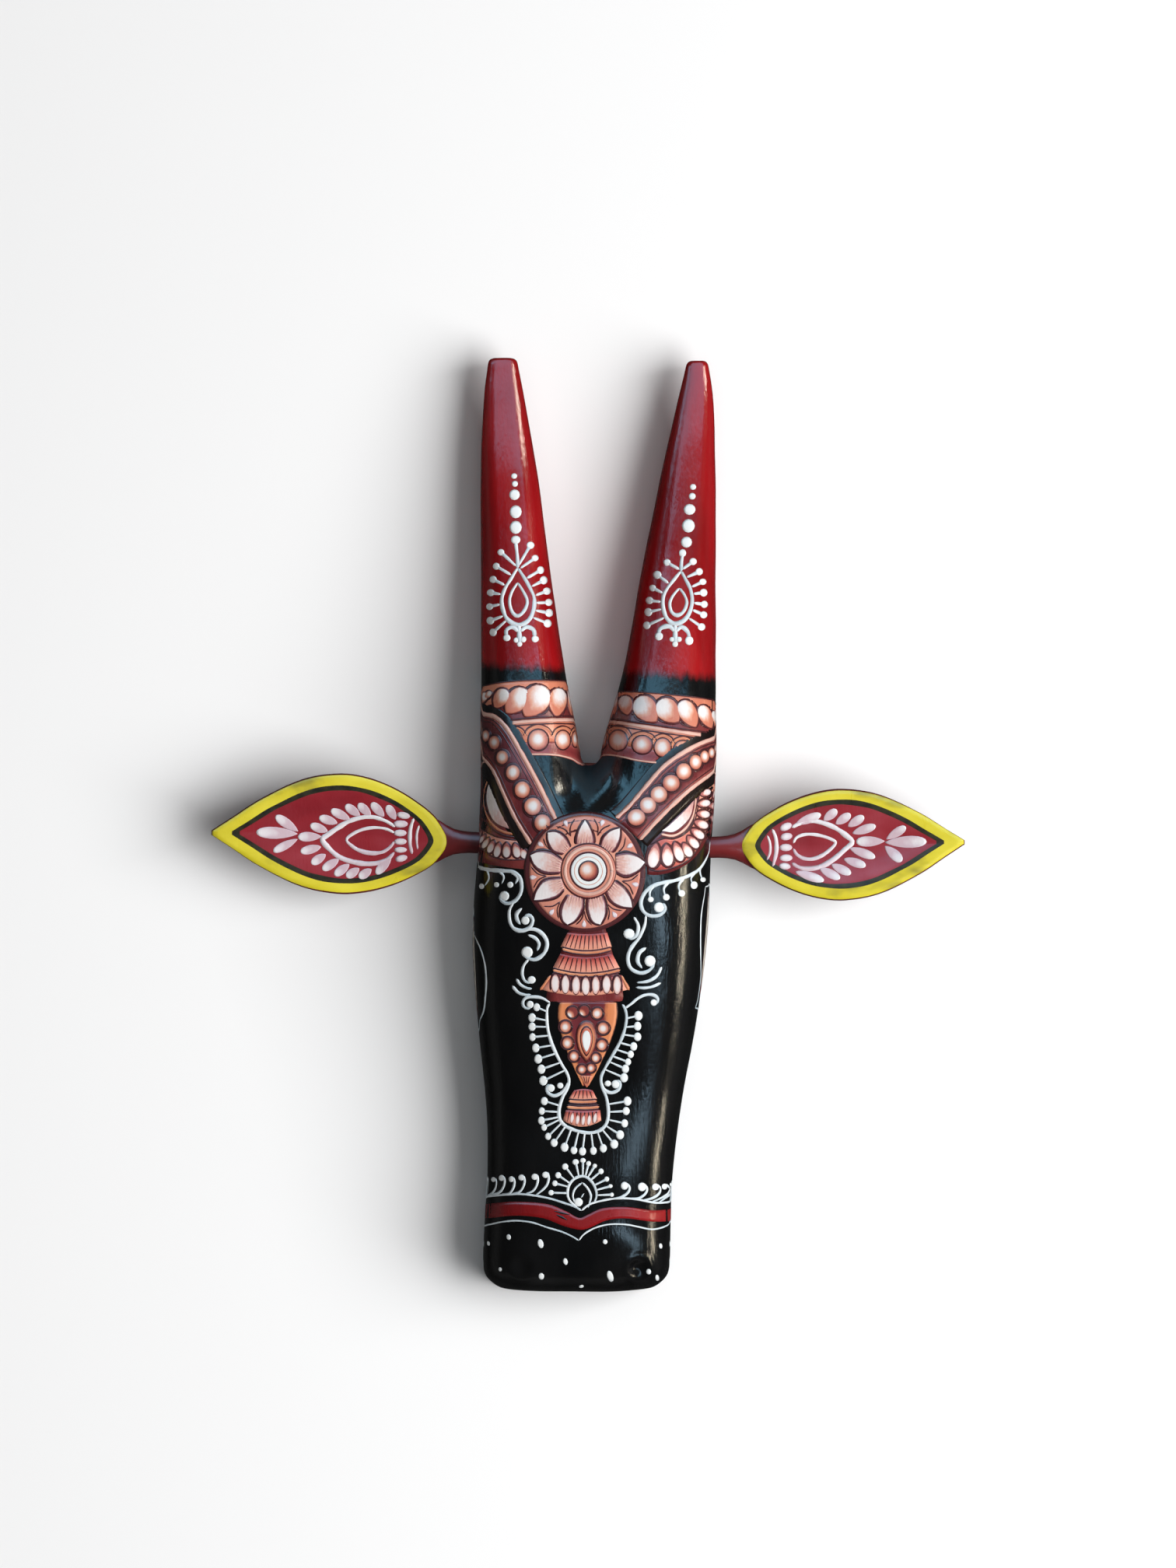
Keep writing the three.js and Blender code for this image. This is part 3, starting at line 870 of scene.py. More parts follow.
DARK = (0.035, 0.010, 0.012)
LOOKS = [
    paint("white_paint", [(0.0, (0.70, 0.74, 0.76)), (0.5, (0.60, 0.66, 0.69)),
          (1.0, (0.46, 0.53, 0.57))], streaks=0.6),
    paint("dot_white", [(0.0, (0.77, 0.79, 0.79)), (0.8, (0.73, 0.76, 0.76)),
          (1.0, (0.64, 0.68, 0.69))]),
    paint("pink_white", [(0.0, (0.74, 0.72, 0.73)), (0.5, (0.68, 0.62, 0.65)),
          (1.0, (0.56, 0.42, 0.47))], streaks=0.7),
    paint("bead_paint", [(0.0, (0.74, 0.73, 0.72)), (0.30, (0.70, 0.64, 0.63)),
          (0.54, (0.62, 0.32, 0.23)), (0.78, (0.47, 0.14, 0.09)), (1.0, (0.20, 0.035, 0.032))],
          rim=(0.80, 0.93, DARK)),
    paint("petal_paint", [(0.0, (0.76, 0.72, 0.72)), (0.62, (0.72, 0.63, 0.62)),
          (0.95, (0.62, 0.30, 0.24)), (1.0, (0.40, 0.13, 0.12))],
          rim=(0.84, 0.95, (0.10, 0.022, 0.030)), streaks=0.45, streak_scale=700),
    paint("strand_paint", [(0.0, (0.78, 0.76, 0.75)), (0.46, (0.75, 0.68, 0.66)),
          (0.80, (0.66, 0.32, 0.22)), (1.0, (0.56, 0.18, 0.11))],
          rim=(0.86, 0.97, (0.13, 0.028, 0.030)), streaks=0.5, streak_scale=500),
    paint("flower_petal", [(0.0, (0.76, 0.74, 0.74)), (0.45, (0.72, 0.66, 0.66)),
          (0.72, (0.66, 0.42, 0.38)), (1.0, (0.46, 0.20, 0.19))],
          rim=(0.72, 0.86, (0.13, 0.035, 0.050)), streaks=0.5, streak_scale=800),
    paint("salmon_paint", [(0.0, (0.66, 0.24, 0.14)), (0.5, (0.60, 0.20, 0.115)),
          (1.0, (0.46, 0.12, 0.075))], streaks=0.7, streak_scale=160),
    paint("blush_paint", [(0.0, (0.74, 0.36, 0.26)), (0.5, (0.68, 0.30, 0.21)),
          (1.0, (0.52, 0.19, 0.14))], streaks=0.7, streak_scale=160),
    paint("maroon_paint", [(0.0, (0.09, 0.013, 0.015)), (0.5, (0.14, 0.020, 0.021)),
          (1.0, (0.20, 0.035, 0.032))], streaks=0.9, streak_scale=240),
    paint("plum_paint", [(0.0, (0.085, 0.011, 0.014)), (0.55, (0.13, 0.019, 0.021)),
          (1.0, (0.30, 0.075, 0.065))], by="edge", streaks=0.7, streak_scale=300),
    paint("rose_paint", [(0.0, (0.17, 0.022, 0.024)), (0.55, (0.24, 0.040, 0.038)),
          (1.0, (0.42, 0.13, 0.11))], by="edge", streaks=0.5, streak_scale=300),
    paint("fluted_paint", [(0.0, (0.30, 0.035, 0.035)), (0.3, (0.54, 0.13, 0.10)),
          (0.7, (0.68, 0.28, 0.21)), (1.0, (0.70, 0.30, 0.20))], streaks=0.35, streak_scale=500),
    paint("pendant_field", [(0.0, (0.09, 0.013, 0.018)), (0.55, (0.15, 0.022, 0.028)),
          (0.70, (0.62, 0.20, 0.08)), (1.0, (0.66, 0.25, 0.11))], by="edge",
          rim=(0.93, 0.99, DARK), streaks=0.25),
    paint("dark_line", [(0.0, DARK), (1.0, (0.07, 0.016, 0.018))]),
    paint("pale_line", [(0.0, (0.72, 0.46, 0.38)), (1.0, (0.62, 0.34, 0.27))],
          rim=(0.72, 1.0, (0.26, 0.06, 0.05)), streaks=0.6),
    paint("orange_line", [(0.0, (0.70, 0.30, 0.16)), (1.0, (0.58, 0.20, 0.10))],
          rim=(0.75, 1.0, (0.22, 0.045, 0.035)), streaks=0.6),
    paint("black_paint", [(0.0, (0.006, 0.003, 0.003)), (1.0, (0.012, 0.006, 0.005))]),
    paint("stripe_red", [(0.0, (0.13, 0.004, 0.005)), (0.55, (0.22, 0.007, 0.009)),
          (1.0, (0.30, 0.010, 0.011))], streaks=0.5),
    paint("cream_paint", [(0.0, (0.72, 0.72, 0.64)), (1.0, (0.62, 0.60, 0.50))], streaks=0.6),
]
(WHITE, DOT, PINKISH, BEAD, PETAL, STRAND, BLOSSOM, SALMON, BLUSH, MAROON, PLUM, ROSE, FLUTED,
 FIELD, OUTLINE, PALE, ORANGE, BLACK, RED, CREAM) = range(len(LOOKS))
print(len(LOOKS), "finishes")

# %% [markdown]
# Each horn carries a white motif: a row of dots that grows and shrinks, a double drop with a ring
# of stalks, and a small curled foot. The stalks are drawn from the drop to their round heads.

# %% White motifs on the horns
def nearest_spot(spot, line):
    return min(line, key=lambda other: math.dist(spot, other))


def stalks(net, heads, line, width, radius=0, gap=0):
    """Strokes from the line out to heads, each with a round drop of paint at its end."""
    for head in heads:
        root = nearest_spot(head[:2], line)
        far = math.dist(head[:2], root)
        start = tuple(r + (h - r) * gap / far for r, h in zip(root, head))
        stroke(net, WHITE, [start, head[:2]], width)
        dots(net, [head if len(head) > 2 else (*head, radius)])


HORN_MARKS = {
    "horn_left": dict(
        dots=[(661, 612, 4), (662, 622, 4), (661.5, 636, 7.6), (663, 658, 8), (663, 678, 7.6),
              (663, 694, 5.6)],
        stem=[(663, 697), (665, 715), (665.5, 731)],
        outer=[(665.5, 730), (657, 744), (649, 757), (645, 770), (646.5, 784), (653, 797),
               (667, 803.5), (680, 797), (686, 784), (687, 769), (681, 755), (673.5, 742),
               (665.5, 730)],
        inner=[(665.5, 749), (658, 761), (655, 773), (658, 786), (665.5, 792), (674, 785),
               (678, 773), (673, 761), (665.5, 749)],
        heads=[(644, 710, 4.6), (638, 728, 4.6), (634, 745), (631, 762, 4.6), (629.5, 780, 4.6),
               (630.5, 798), (634, 813), (682, 701), (688, 717.5), (695, 733), (699, 746),
               (703, 760), (705.5, 774.5), (706, 788), (704, 801.5)],
        foot=[(667, 802), (667.5, 814), (668, 826)],
        curls=[[(667, 812), (659, 806), (651, 810), (651, 818)],
               [(669, 812), (677, 806), (686, 810), (687.5, 819)]],
        toes=[(651.5, 820, 4.4), (688, 821.5, 4.6), (663.5, 823, 3), (668, 828, 3.2),
              (673, 822, 3)]),
    "horn_right": dict(
        dots=[(891, 626, 4.4), (890, 638, 4.4), (886.5, 655, 7.6), (885, 676, 8),
              (882.5, 697, 7.6), (877.5, 711, 4.8)],
        stem=[(877.5, 713), (876, 724), (875.6, 735)],
        outer=[(875.6, 734), (865, 747), (855.5, 760), (852, 771), (853, 784), (858, 796),
               (868, 802), (880, 797), (887.5, 785), (890, 771), (887.5, 757), (881.5, 745),
               (875.6, 734)],
        inner=[(873.5, 756), (865, 766), (861, 776), (863.5, 787), (871, 791), (879, 786),
               (883, 775), (880, 765), (873.5, 756)],
        heads=[(857.5, 723, 5), (845, 739, 5), (839, 756), (835, 772, 4.6), (833.5, 787),
               (831.6, 804, 4.8), (891, 722), (899, 735), (903.6, 748), (904.7, 762),
               (905.5, 777), (904.7, 790.5, 4.8), (902, 806)],
        foot=[(868, 802), (868, 813), (868, 827)],
        curls=[[(868, 812), (860, 805), (849, 808), (846, 816)],
               [(869, 812), (876, 806), (884, 812), (886.5, 821)]],
        toes=[(847, 818, 4.6), (886, 823.6, 4.8), (864, 822, 3), (868, 828, 3.2),
              (873, 822, 3)]),
}
for name, marks in HORN_MARKS.items():
    net = new_net()
    dots(net, marks["dots"], lift=0.14)
    stroke(net, WHITE, marks["stem"], (4.2, 4.6))
    stroke(net, WHITE, marks["outer"], (3.8, 5.0, 6.2, 5.0, 3.8))
    stroke(net, WHITE, marks["inner"], (3.0, 4.0, 4.8, 4.0, 3.0))
    stalks(net, marks["heads"], dense(marks["outer"]), (3.2, 4.6), 4.8, gap=2.5)
    stroke(net, WHITE, marks["foot"], (4.6, 6.4, 8.0))
    for curl in marks["curls"]:
        stroke(net, WHITE, curl, (4.4, 6.0, 4.8))
    dots(net, marks["toes"], swell=1.15)
    piece(name + "_motif", net, LOOKS)

# %% [markdown]
# Above the brow each horn wears two painted rings, as if of jewellery: a twisted rope on orange,
# and a row of round beads on dark red. The two slanting bands that run down to the forehead are
# painted over them, so their outlines are set down first, and the rings stop under them. All of it
# runs on round the block, so the lists go on past its edge, where the squares count down the side.

# %% Outlines of the two slanting bands
BAND_LEFT = dict(
    upper=[(520, 884), (560, 895), (590, 904), (612, 913), (622.5, 918), (637, 922), (652, 937),
           (670, 967.5), (692.5, 1008.5), (714.5, 1054)],
    lower=[(520, 936), (560, 944), (590, 953), (610, 962), (621, 974), (634, 990.5),
           (646.7, 1018.6), (662, 1051.7), (683, 1086)],
    beads=[(534, 914, 8, 8), (552, 918, 8, 8), (570, 922, 8, 8), (588, 927, 8, 8),
           (604, 933, 6, 8), (615.5, 941, 4, 8), (625, 946, 5.5, 8.5), (635.8, 954.8, 8, 10),
           (646, 974, 8.6, 10), (659.5, 993.6, 9.8, 11.2), (671.5, 1015.5, 11, 12),
           (685, 1037, 12, 12.8), (697.5, 1058, 12, 12.4)])
BAND_RIGHT = dict(
    upper=[(1010, 915), (975, 924), (950, 933), (928, 944), (919.7, 948.4), (891.6, 960),
           (856, 983), (830.4, 1011), (808.7, 1036.4), (792, 1052)],
    lower=[(1010, 960), (975, 965), (950, 972), (929, 982), (919.7, 990.5), (889, 1013.5),
           (866, 1034), (843, 1057), (822.5, 1080)],
    beads=[(1000, 939, 8, 8), (983, 942, 8, 8), (966, 947, 8, 8), (949, 954, 8, 8),
           (933, 962, 6, 8), (923, 963, 3.2, 7), (914.5, 968, 4.6, 7.6), (905.5, 973, 6.5, 9),
           (894, 980, 8.6, 10.8), (878.9, 992, 11, 12), (862.8, 1007, 12.4, 12.2),
           (847, 1021.6, 11.8, 12), (833, 1035.5, 11.6, 12), (818.2, 1051, 12.4, 12)])


def beside(line, gap):
    """The line moved sideways by gap squares, to the left of its run."""
    spots = dense(line, closed=False)
    moved = []
    for i, (x, y) in enumerate(spots):
        a, b = spots[max(i - 1, 0)], spots[min(i + 1, len(spots) - 1)]
        length = math.dist(a, b) or 1
        moved.append((x + (b[1] - a[1]) / length * gap, y - (b[0] - a[0]) / length * gap))
    return moved


def between(one, other, share):
    """The line between two lines, at a share of the way from the first one."""
    return [(mix(a[0], b[0], share), mix(a[1], b[1], share))
            for a, b in zip(dense(one, False), dense(other, False))]


def inside(outline):
    """A test for places within a closed outline."""
    def test(x, y):
        odd = False
        for (x1, y1), (x2, y2) in zip(outline, outline[1:] + outline[:1]):
            if (y1 > y) != (y2 > y) and x < (x2 - x1) * (y - y1) / (y2 - y1) + x1:
                odd = not odd
        return odd
    return test


BORDER = 12  # black beside each band, in squares
left_top = beside(BAND_LEFT["upper"], BORDER - 2)
right_top = beside(BAND_RIGHT["upper"], 2 - BORDER)
band_covers = [inside(left_top + dense(BAND_LEFT["lower"], False)[::-1]),
               inside(right_top + dense(BAND_RIGHT["lower"], False)[::-1])]

# %% Rope and bead rings at the foot of each horn
RINGS = {
    "rings_left": dict(
        chart=around_left,
        top=[(525, 889), (560, 889), (590, 889), (612, 886), (618, 883), (640, 878), (665, 875.5),
             (690, 874.5), (715, 875), (729, 876), (742, 879), (790, 886), (840, 888)],
        line=[(525, 940), (560, 940), (590, 940), (612, 937), (630, 932), (659.5, 928), (680, 926),
              (705, 924.5), (738, 924), (748, 925), (795, 930), (840, 932)],
        low=[(525, 990), (560, 990), (590, 988), (612, 985), (640, 975), (665, 972), (690, 971),
             (715, 972), (735, 977), (750, 984), (795, 984), (840, 984)],
        rope=[(556, 913, 10, 15, 40), (580, 913, 10, 15, 40), (602, 912, 9, 14, 40),
              (621, 897, 5, 8, 40), (628, 893, 3.4, 6, 40), (644.5, 897, 9, 13, 30),
              (665.5, 900, 13, 18, 42), (689.5, 900, 16, 21, 36), (717, 901, 11, 17.5, 4),
              (737, 903, 7, 16, 0), (757, 907, 11, 17, 0), (781, 910, 11, 17, 0),
              (805, 911, 11, 17, 0)],
        beads=[(563, 966, 14, 13), (595, 966, 14, 13), (628, 958, 13, 13), (660, 951, 13, 13.5),
               (692, 951.5, 14.5, 15), (723.5, 951.5, 11, 13.5), (739.5, 950.5, 5.4, 11.5),
               (765, 957, 14, 13.5), (797, 958, 14, 13.5)]),
    "rings_right": dict(
        chart=around_right,
        top=[(680, 899), (730, 896), (768, 894), (780, 893), (790, 890), (800, 889), (815, 889.5),
             (840, 891), (866, 893.5), (895, 896.5), (922, 901), (930, 903), (970, 906),
             (1005, 906)],
        line=[(680, 936), (720, 934), (760, 931), (772, 928), (783, 927), (800, 928.5), (815, 931),
              (840, 934.5), (866, 938.5), (899, 943), (926, 947), (965, 950), (1005, 952)],
        low=[(680, 984), (720, 981), (762, 976), (780, 972), (800, 974.5), (820, 979), (845, 982),
             (872, 985), (900, 990), (925, 995), (965, 998), (1005, 1000)],
        rope=[(714, 914, 11, 16, 0), (738, 913, 11, 16, 0), (761, 911, 11, 16, 0),
              (781, 906, 8, 15, 0), (789, 904.5, 5, 12, 0), (804.5, 905.5, 8.6, 11.5, -10),
              (829.5, 911, 14, 18, -40), (858, 913, 13.5, 17.5, -44), (884, 916, 11, 18, -30),
              (907, 920, 8, 14.5, -26), (920, 924, 4, 11, -18), (936, 926, 10, 15, -30),
              (959, 929, 10, 15, -30), (982, 931, 10, 15, -30)],
        beads=[(715, 958, 14, 13.5), (747, 956, 14, 13.5), (773, 952, 8, 13),
               (795, 952, 13.4, 14.6), (826, 957.8, 14, 13), (852, 961.3, 12, 13.4),
               (878, 964, 13, 13), (908, 966, 12, 13), (938, 973, 13, 13), (970, 975, 13, 13)]),
}
for name, ring in RINGS.items():
    covered = band_covers
    chart = ring["chart"]
    net = new_net()
    middle = between(ring["top"], ring["line"], 0.5)
    shelf = between(ring["line"], ring["low"], 0.62)
    for look, one, two in ((SALMON, ring["top"], middle), (MAROON, middle, ring["line"]),
                           (SALMON, ring["line"], shelf), (ROSE, shelf, ring["low"])):
        patch(net, look, one, two, 0.07, chart=chart)
    for across, down, wide, tall, turn in ring["rope"]:
        lean = math.radians(270 - turn)
        side = 1 if turn >= 0 else -1
        heart = (across + math.cos(lean) * tall * 0.12, down - math.sin(lean) * tall * 0.12)
        tail = (heart[0] + math.cos(lean) * tall * 1.1, heart[1] - math.sin(lean) * tall * 1.1)
        for k in (0.55, 1.0):
            stroke(net, OUTLINE, [(across + side * wide * 1.1 * k, down - tall * 0.5 * (1 - k)),
                                  (across + side * wide * 0.8 * k, down + tall * 0.75),
                                  (tail[0] + side * wide * 0.6 * k, tail[1] + 1)],
                   (1.2, 2.4, 1.2), 0.03, chart, base=0.085)
        blob(net, OUTLINE, heart, drop(tall * 1.2, wide * 1.12 + 1.2, 270 - turn, 0.42), 0.02,
             base=0.095, chart=chart)
        blob(net, STRAND, heart, drop(tall * 1.16, wide * 1.04, 270 - turn, 0.45), 0.06,
             shine=(-0.52, 0.16 * side), base=0.12, chart=chart)
    stroke(net, OUTLINE, ring["top"], 1.8, 0.03, chart, base=0.09)
    for look, share, width, lift, base in ((PALE, 0.03, 5.2, 0.06, 0.16),
                                           (OUTLINE, -0.06, 1.9, 0.04, 0.17),
                                           (OUTLINE, 0.13, 1.9, 0.04, 0.17),
                                           (PALE, 0.97, 2.2, 0.04, 0.10)):
        stroke(net, look, between(ring["line"], ring["low"], share), width, lift, chart,
               base=base)
    for across, down, wide, tall in ring["beads"]:
        for swell, look in ((1.24, ORANGE), (1.42, OUTLINE)):
            arc = [(across - wide * swell * math.cos(math.radians(a)),
                    down - tall * swell * 0.95 * math.sin(math.radians(a)))
                   for a in (15, 50, 90, 130, 165)]
            stroke(net, look, arc, 1.8, 0.03, chart, base=0.10)
        blob(net, BEAD, (across, down), oval(wide, tall), 0.08, shine=(-0.05, 0.08),
             base=0.12, chart=chart)
    piece(name, net, LOOKS)
covered = []

# %% [markdown]
# The slanting bands are strings of beads on maroon between two pale lines, edged with black. They
# end at the round flower on the forehead, so they are painted before it.

# %% Slanting bands
for name, band, sign in (("band_left", BAND_LEFT, 1), ("band_right", BAND_RIGHT, -1)):
    net = new_net()
    upper, lower = band["upper"], band["lower"]
    patch(net, BLACK, beside(upper, sign * BORDER), beside(upper, sign * -3), 0.05, 8,
          around_face, dome=0.09)
    patch(net, BLACK, beside(lower, sign * 2), beside(lower, sign * -13), 0.12, 3,
          around_face)
    patch(net, PLUM, beside(upper, sign * -1), beside(lower, sign * 1), 0.15, 8, around_face)
    for line, width in ((upper, 6.0), (lower, 5.4)):
        stroke(net, PALE, line, width, 0.07, around_face, base=0.16)
    for line, gap in ((upper, -5), (upper, -9), (lower, 5)):
        stroke(net, OUTLINE, beside(line, sign * gap), 1.6, 0.03, around_face,
               base=0.17)
    for across, down, wide, tall in band["beads"]:
        blob(net, OUTLINE, (across, down), oval(wide * 1.1 + 1.2, tall * 1.1 + 1.2), 0.02,
             base=0.16, chart=around_face)
        blob(net, BEAD, (across, down), oval(wide, tall), 0.08, shine=(0, 0.06),
             base=0.18, chart=around_face)
    piece(name, net, LOOKS)

# %% [markdown]
# The flower is the brightest thing on the face: nine petals round a boss of rings, on a salmon
# disc with a dark rim. Each petal is a patch between two curves that meet in its tip, white there
# and pink at its root. Between the petals small veins and white drops fill the rim.

# %% The flower on the forehead
FLOWER = (751.8, 1121)
BOSS = (756.6, 1119.6)
PETALS = [  # the tip, then the two sides down to the boss
    ((752.1, 1054.8), [(744.2, 1065.8), (740.1, 1076.0), (739.3, 1085.4)],
     [(760.3, 1065.8), (764.1, 1076.0), (764.8, 1084.4)]),
    ((796.7, 1065.0), [(784.5, 1067.8), (774.8, 1076.0), (770.2, 1090.0)],
     [(797.8, 1076.0), (794.2, 1087.4), (787.8, 1096.4)]),
    ((829.1, 1108.6), [(817.7, 1098.9), (804.9, 1095.6), (790.9, 1098.2)],
     [(820.2, 1120.6), (804.9, 1127.8), (791.6, 1121.9)]),
    ((812.6, 1166.5), [(811.3, 1153.8), (803.6, 1141.0), (790.9, 1131.3)],
     [(797.2, 1166.0), (784.5, 1158.9), (778.1, 1146.1)]),
    ((771.7, 1188.5), [(778.9, 1176.7), (779.9, 1162.7), (775.6, 1149.9)],
     [(760.3, 1184.4), (754.4, 1169.1), (755.2, 1154.3)]),
    ((729.6, 1188.5), [(741.1, 1183.1), (750.1, 1169.1), (750.6, 1153.3)],
     [(722.0, 1181.8), (720.7, 1166.5), (729.6, 1149.9)]),
    ((687.0, 1157.1), [(700.3, 1157.6), (715.6, 1153.8), (725.8, 1143.6)],
     [(690.1, 1143.6), (700.3, 1130.8), (722.0, 1127.8)]),
    ((682.4, 1099.7), [(692.7, 1093.8), (708.0, 1094.6), (723.3, 1104.8)],
     [(687.6, 1114.2), (700.3, 1122.7), (720.2, 1122.7)]),
    ((704.6, 1070.4), [(716.1, 1068.6), (727.1, 1075.2), (734.0, 1088.7)],
     [(704.4, 1082.3), (710.5, 1094.6), (724.5, 1098.2)]),
]
net = new_net()
blob(net, OUTLINE, FLOWER, oval(77, 77.5), 0.02, "disc", flat=30, base=0.25)
blob(net, BLUSH, FLOWER, oval(72, 72.5), 0.02, "disc", flat=40, base=0.31)


def around(turn, reach, middle=FLOWER):
    return (middle[0] + math.cos(turn) * reach, middle[1] - math.sin(turn) * reach)


tips = sorted(math.atan2(FLOWER[1] - petal[0][1], petal[0][0] - FLOWER[0]) for petal in PETALS)
for a, b in zip(tips, tips[1:] + [tips[0] + 2 * math.pi]):
    middle, spread = (a + b) / 2, (b - a) / 2
    for side in (-1, 1):
        stroke(net, OUTLINE, [around(middle + side * spread * 0.50, 69),
                              around(middle + side * spread * 0.16, 60), around(middle, 49)],
               1.8, 0.03, base=0.34)
    blob(net, PINKISH, around(middle, 66.5), drop(4.6, 3.0, math.degrees(middle) + 180),
         0.05, "dot", base=0.34)
for tip, one, two in PETALS:
    one, two = [tip] + one, [tip] + two
    stroke(net, OUTLINE, one[:0:-1] + two, 3.4, 0.04, base=0.36)
    patch(net, BLOSSOM, one, two, 0.37, 8, dome=0.07)
    for share in (0.2, 0.35, 0.5, 0.65, 0.8):
        line = between(one, two, share)
        stroke(net, PALE, [line[60], line[30 + int(abs(share - 0.5) * 40)]], (2.2, 0.6),
               0.02, base=0.43)
for radius, look, base in ((36.5, OUTLINE, 0.44), (34, BLUSH, 0.47), (25, OUTLINE, 0.50),
                           (22.6, DOT, 0.53), (13.6, OUTLINE, 0.56)):
    blob(net, look, BOSS, oval(radius, radius), 0.02, "disc", flat=24, base=base)
blob(net, BEAD, BOSS, oval(13.4, 13.4), 0.1, shine=(-0.16, 0.16), base=0.59)
for radius, width, base in ((18, 1.1, 0.56), (30, 4.6, 0.50)):
    circle = [around(k * math.pi / 8, radius, BOSS) for k in range(16)]
    stroke(net, PALE, circle, width, 0.03, closed=True, base=base)
piece("flower", net, LOOKS)

# %% [markdown]
# Under the flower hangs a painted tassel of three fluted tiers, then a pendant shaped like a vase,
# filled with beads round a drop, and a small tassel at its foot. Thin dark strokes between light
# ones make the painted wood look like pleated cloth.

# %% Tassel and pendant
def bell(net, look, top, foot, sag, lift=0.08, flutes=0, chart=front):
    """A tier between two level lines, each given as left, right and height on the paper."""
    one = [(top[0], top[2]), (foot[0], foot[2])]
    two = [(top[1], top[2]), (foot[1], foot[2])]
    patch(net, look, one, two, lift, 10, chart, sag=sag)
    for k in range(1, flutes):
        share = k / flutes
        middle = 1 - (2 * share - 1) ** 2
        a = (mix(top[0], top[1], share), top[2] + sag[0] * middle + 1)
        b = (mix(foot[0], foot[1], share), foot[2] + sag[1] * middle - 1)
        stroke(net, OUTLINE, [a, b], (1.9, 0.9), 0.02, chart, base=lift + 0.02)


def hem(net, left, right, down, sag, lift=0.10):
    """An orange cord between two dark lines."""
    for step, look, width in ((0, OUTLINE, 1.9), (2.6, ORANGE, 3.4), (5.2, OUTLINE, 1.9)):
        line = [(mix(left, right, t), down + step + sag * (1 - (2 * t - 1) ** 2))
                for t in (0, 0.25, 0.5, 0.75, 1)]
        stroke(net, look, line, width, 0.03, base=lift)


net = new_net()
patch(net, MAROON, [(733, 1192), (703, 1277), (716, 1288), (735, 1291)],
      [(778, 1192), (801, 1277), (790, 1288), (772, 1291)], 0.05, 8)
bell(net, FLUTED, (729.6, 780.7, 1199), (720.7, 786.5, 1217.5), (2, 5), flutes=11)
bell(net, FLUTED, (720.5, 787, 1226), (710.5, 797, 1245), (5, 6), flutes=12)
bell(net, FLUTED, (708.5, 798.5, 1253.5), (694.5, 808.7, 1272), (6, 8))
hem(net, 722.5, 785.8, 1217.3, 5)
hem(net, 710.5, 797.5, 1244.5, 6.5)
for across, down in ((713.8, 1264.5), (727, 1265.8), (740.6, 1267), (753, 1268), (766, 1267),
                     (779.9, 1265.8), (793.4, 1267)):
    arch = [(across - 6, down + 9), (across - 5.5, down - 6), (across, down - 14),
            (across + 5.5, down - 6), (across + 6, down + 9)]
    stroke(net, OUTLINE, arch, 2.6, 0.03, base=0.10)
    blob(net, PETAL, (across, down), oval(5.4, 12.4), 0.05, base=0.12)
for side in ([(708, 1254), (701, 1264), (694.5, 1273)], [(799, 1254), (804, 1264), (809, 1273)]):
    stroke(net, ORANGE, side, (2.5, 4.5), 0.03, base=0.11)

VASE_LEFT = [(719, 1289), (716.5, 1301), (718, 1319), (725.8, 1345), (736, 1370), (749, 1396)]
VASE_RIGHT = [(793.5, 1289), (794.5, 1303), (791, 1322), (782, 1347), (770, 1373), (757, 1396)]
NECK = 1302
patch(net, FIELD, VASE_LEFT, VASE_RIGHT, 0.08, 14)
for across, down, radius in ((736, 1301.5, 7.4), (751.3, 1299.5, 7), (768, 1302.8, 7.4),
                             (727, 1320, 7.8), (775.6, 1322, 8), (729.6, 1341, 7.6),
                             (773.8, 1343.6, 7.4), (738, 1358, 6.6), (766, 1360, 6),
                             (748.3, 1374.7, 5.8), (760, 1373, 5.6)):
    edge = [around(-k * math.pi / 4, radius + 1.2, (across, down)) for k in range(8)]
    stroke(net, OUTLINE, edge, 2.0, 0.03, closed=True, base=0.11)
    aside = -0.62 if down < NECK else -0.05  # the beads in the neck are mostly in shade
    blob(net, BEAD, (across, down), oval(radius, radius * 1.06), 0.06,
         shine=(aside, aside), base=0.11)
for wide, tall, look, base in ((13, 27, OUTLINE, 0.11), (11.6, 25, ORANGE, 0.13),
                               (7.8, 19.5, OUTLINE, 0.16), (6.8, 17.8, SALMON, 0.18),
                               (5, 14, DOT, 0.20)):
    blob(net, look, (753.9, 1338.5), drop(tall, wide, 270, 0.5), 0.03, base=base)
patch(net, SALMON, [(745, 1383), (754, 1398)], [(763, 1383), (755, 1398)], 0.11, 4)
for turn in (-4, 0, 4):
    stroke(net, OUTLINE, [(754 + turn, 1383), (754.5 + turn * 0.3, 1394)], 1.2, 0.02,
           base=0.13)

bell(net, FLUTED, (738, 762, 1402), (731, 767.5, 1413), (-2, 1), flutes=6)
hem(net, 731, 767.5, 1413, 1.2)
hem(net, 728.5, 770.5, 1420.5, 1.4)
bell(net, FLUTED, (727.5, 771.5, 1427), (724, 773, 1440.5), (1, 8), flutes=9)
for across, down in ((735.5, 1437.6), (742.6, 1439.6), (750, 1440.6), (757.4, 1440.2),
                     (765, 1437.8)):
    blob(net, PETAL, (across, down), oval(2.5, 7.2, -8), 0.04, base=0.12)
piece("tassel_and_pendant", net, LOOKS)

# %% [markdown]
# A white line runs right round the pendant and carries a fringe of stalks with round heads. The
# heads are dabs of thicker paint, set down with the other end of the brush.

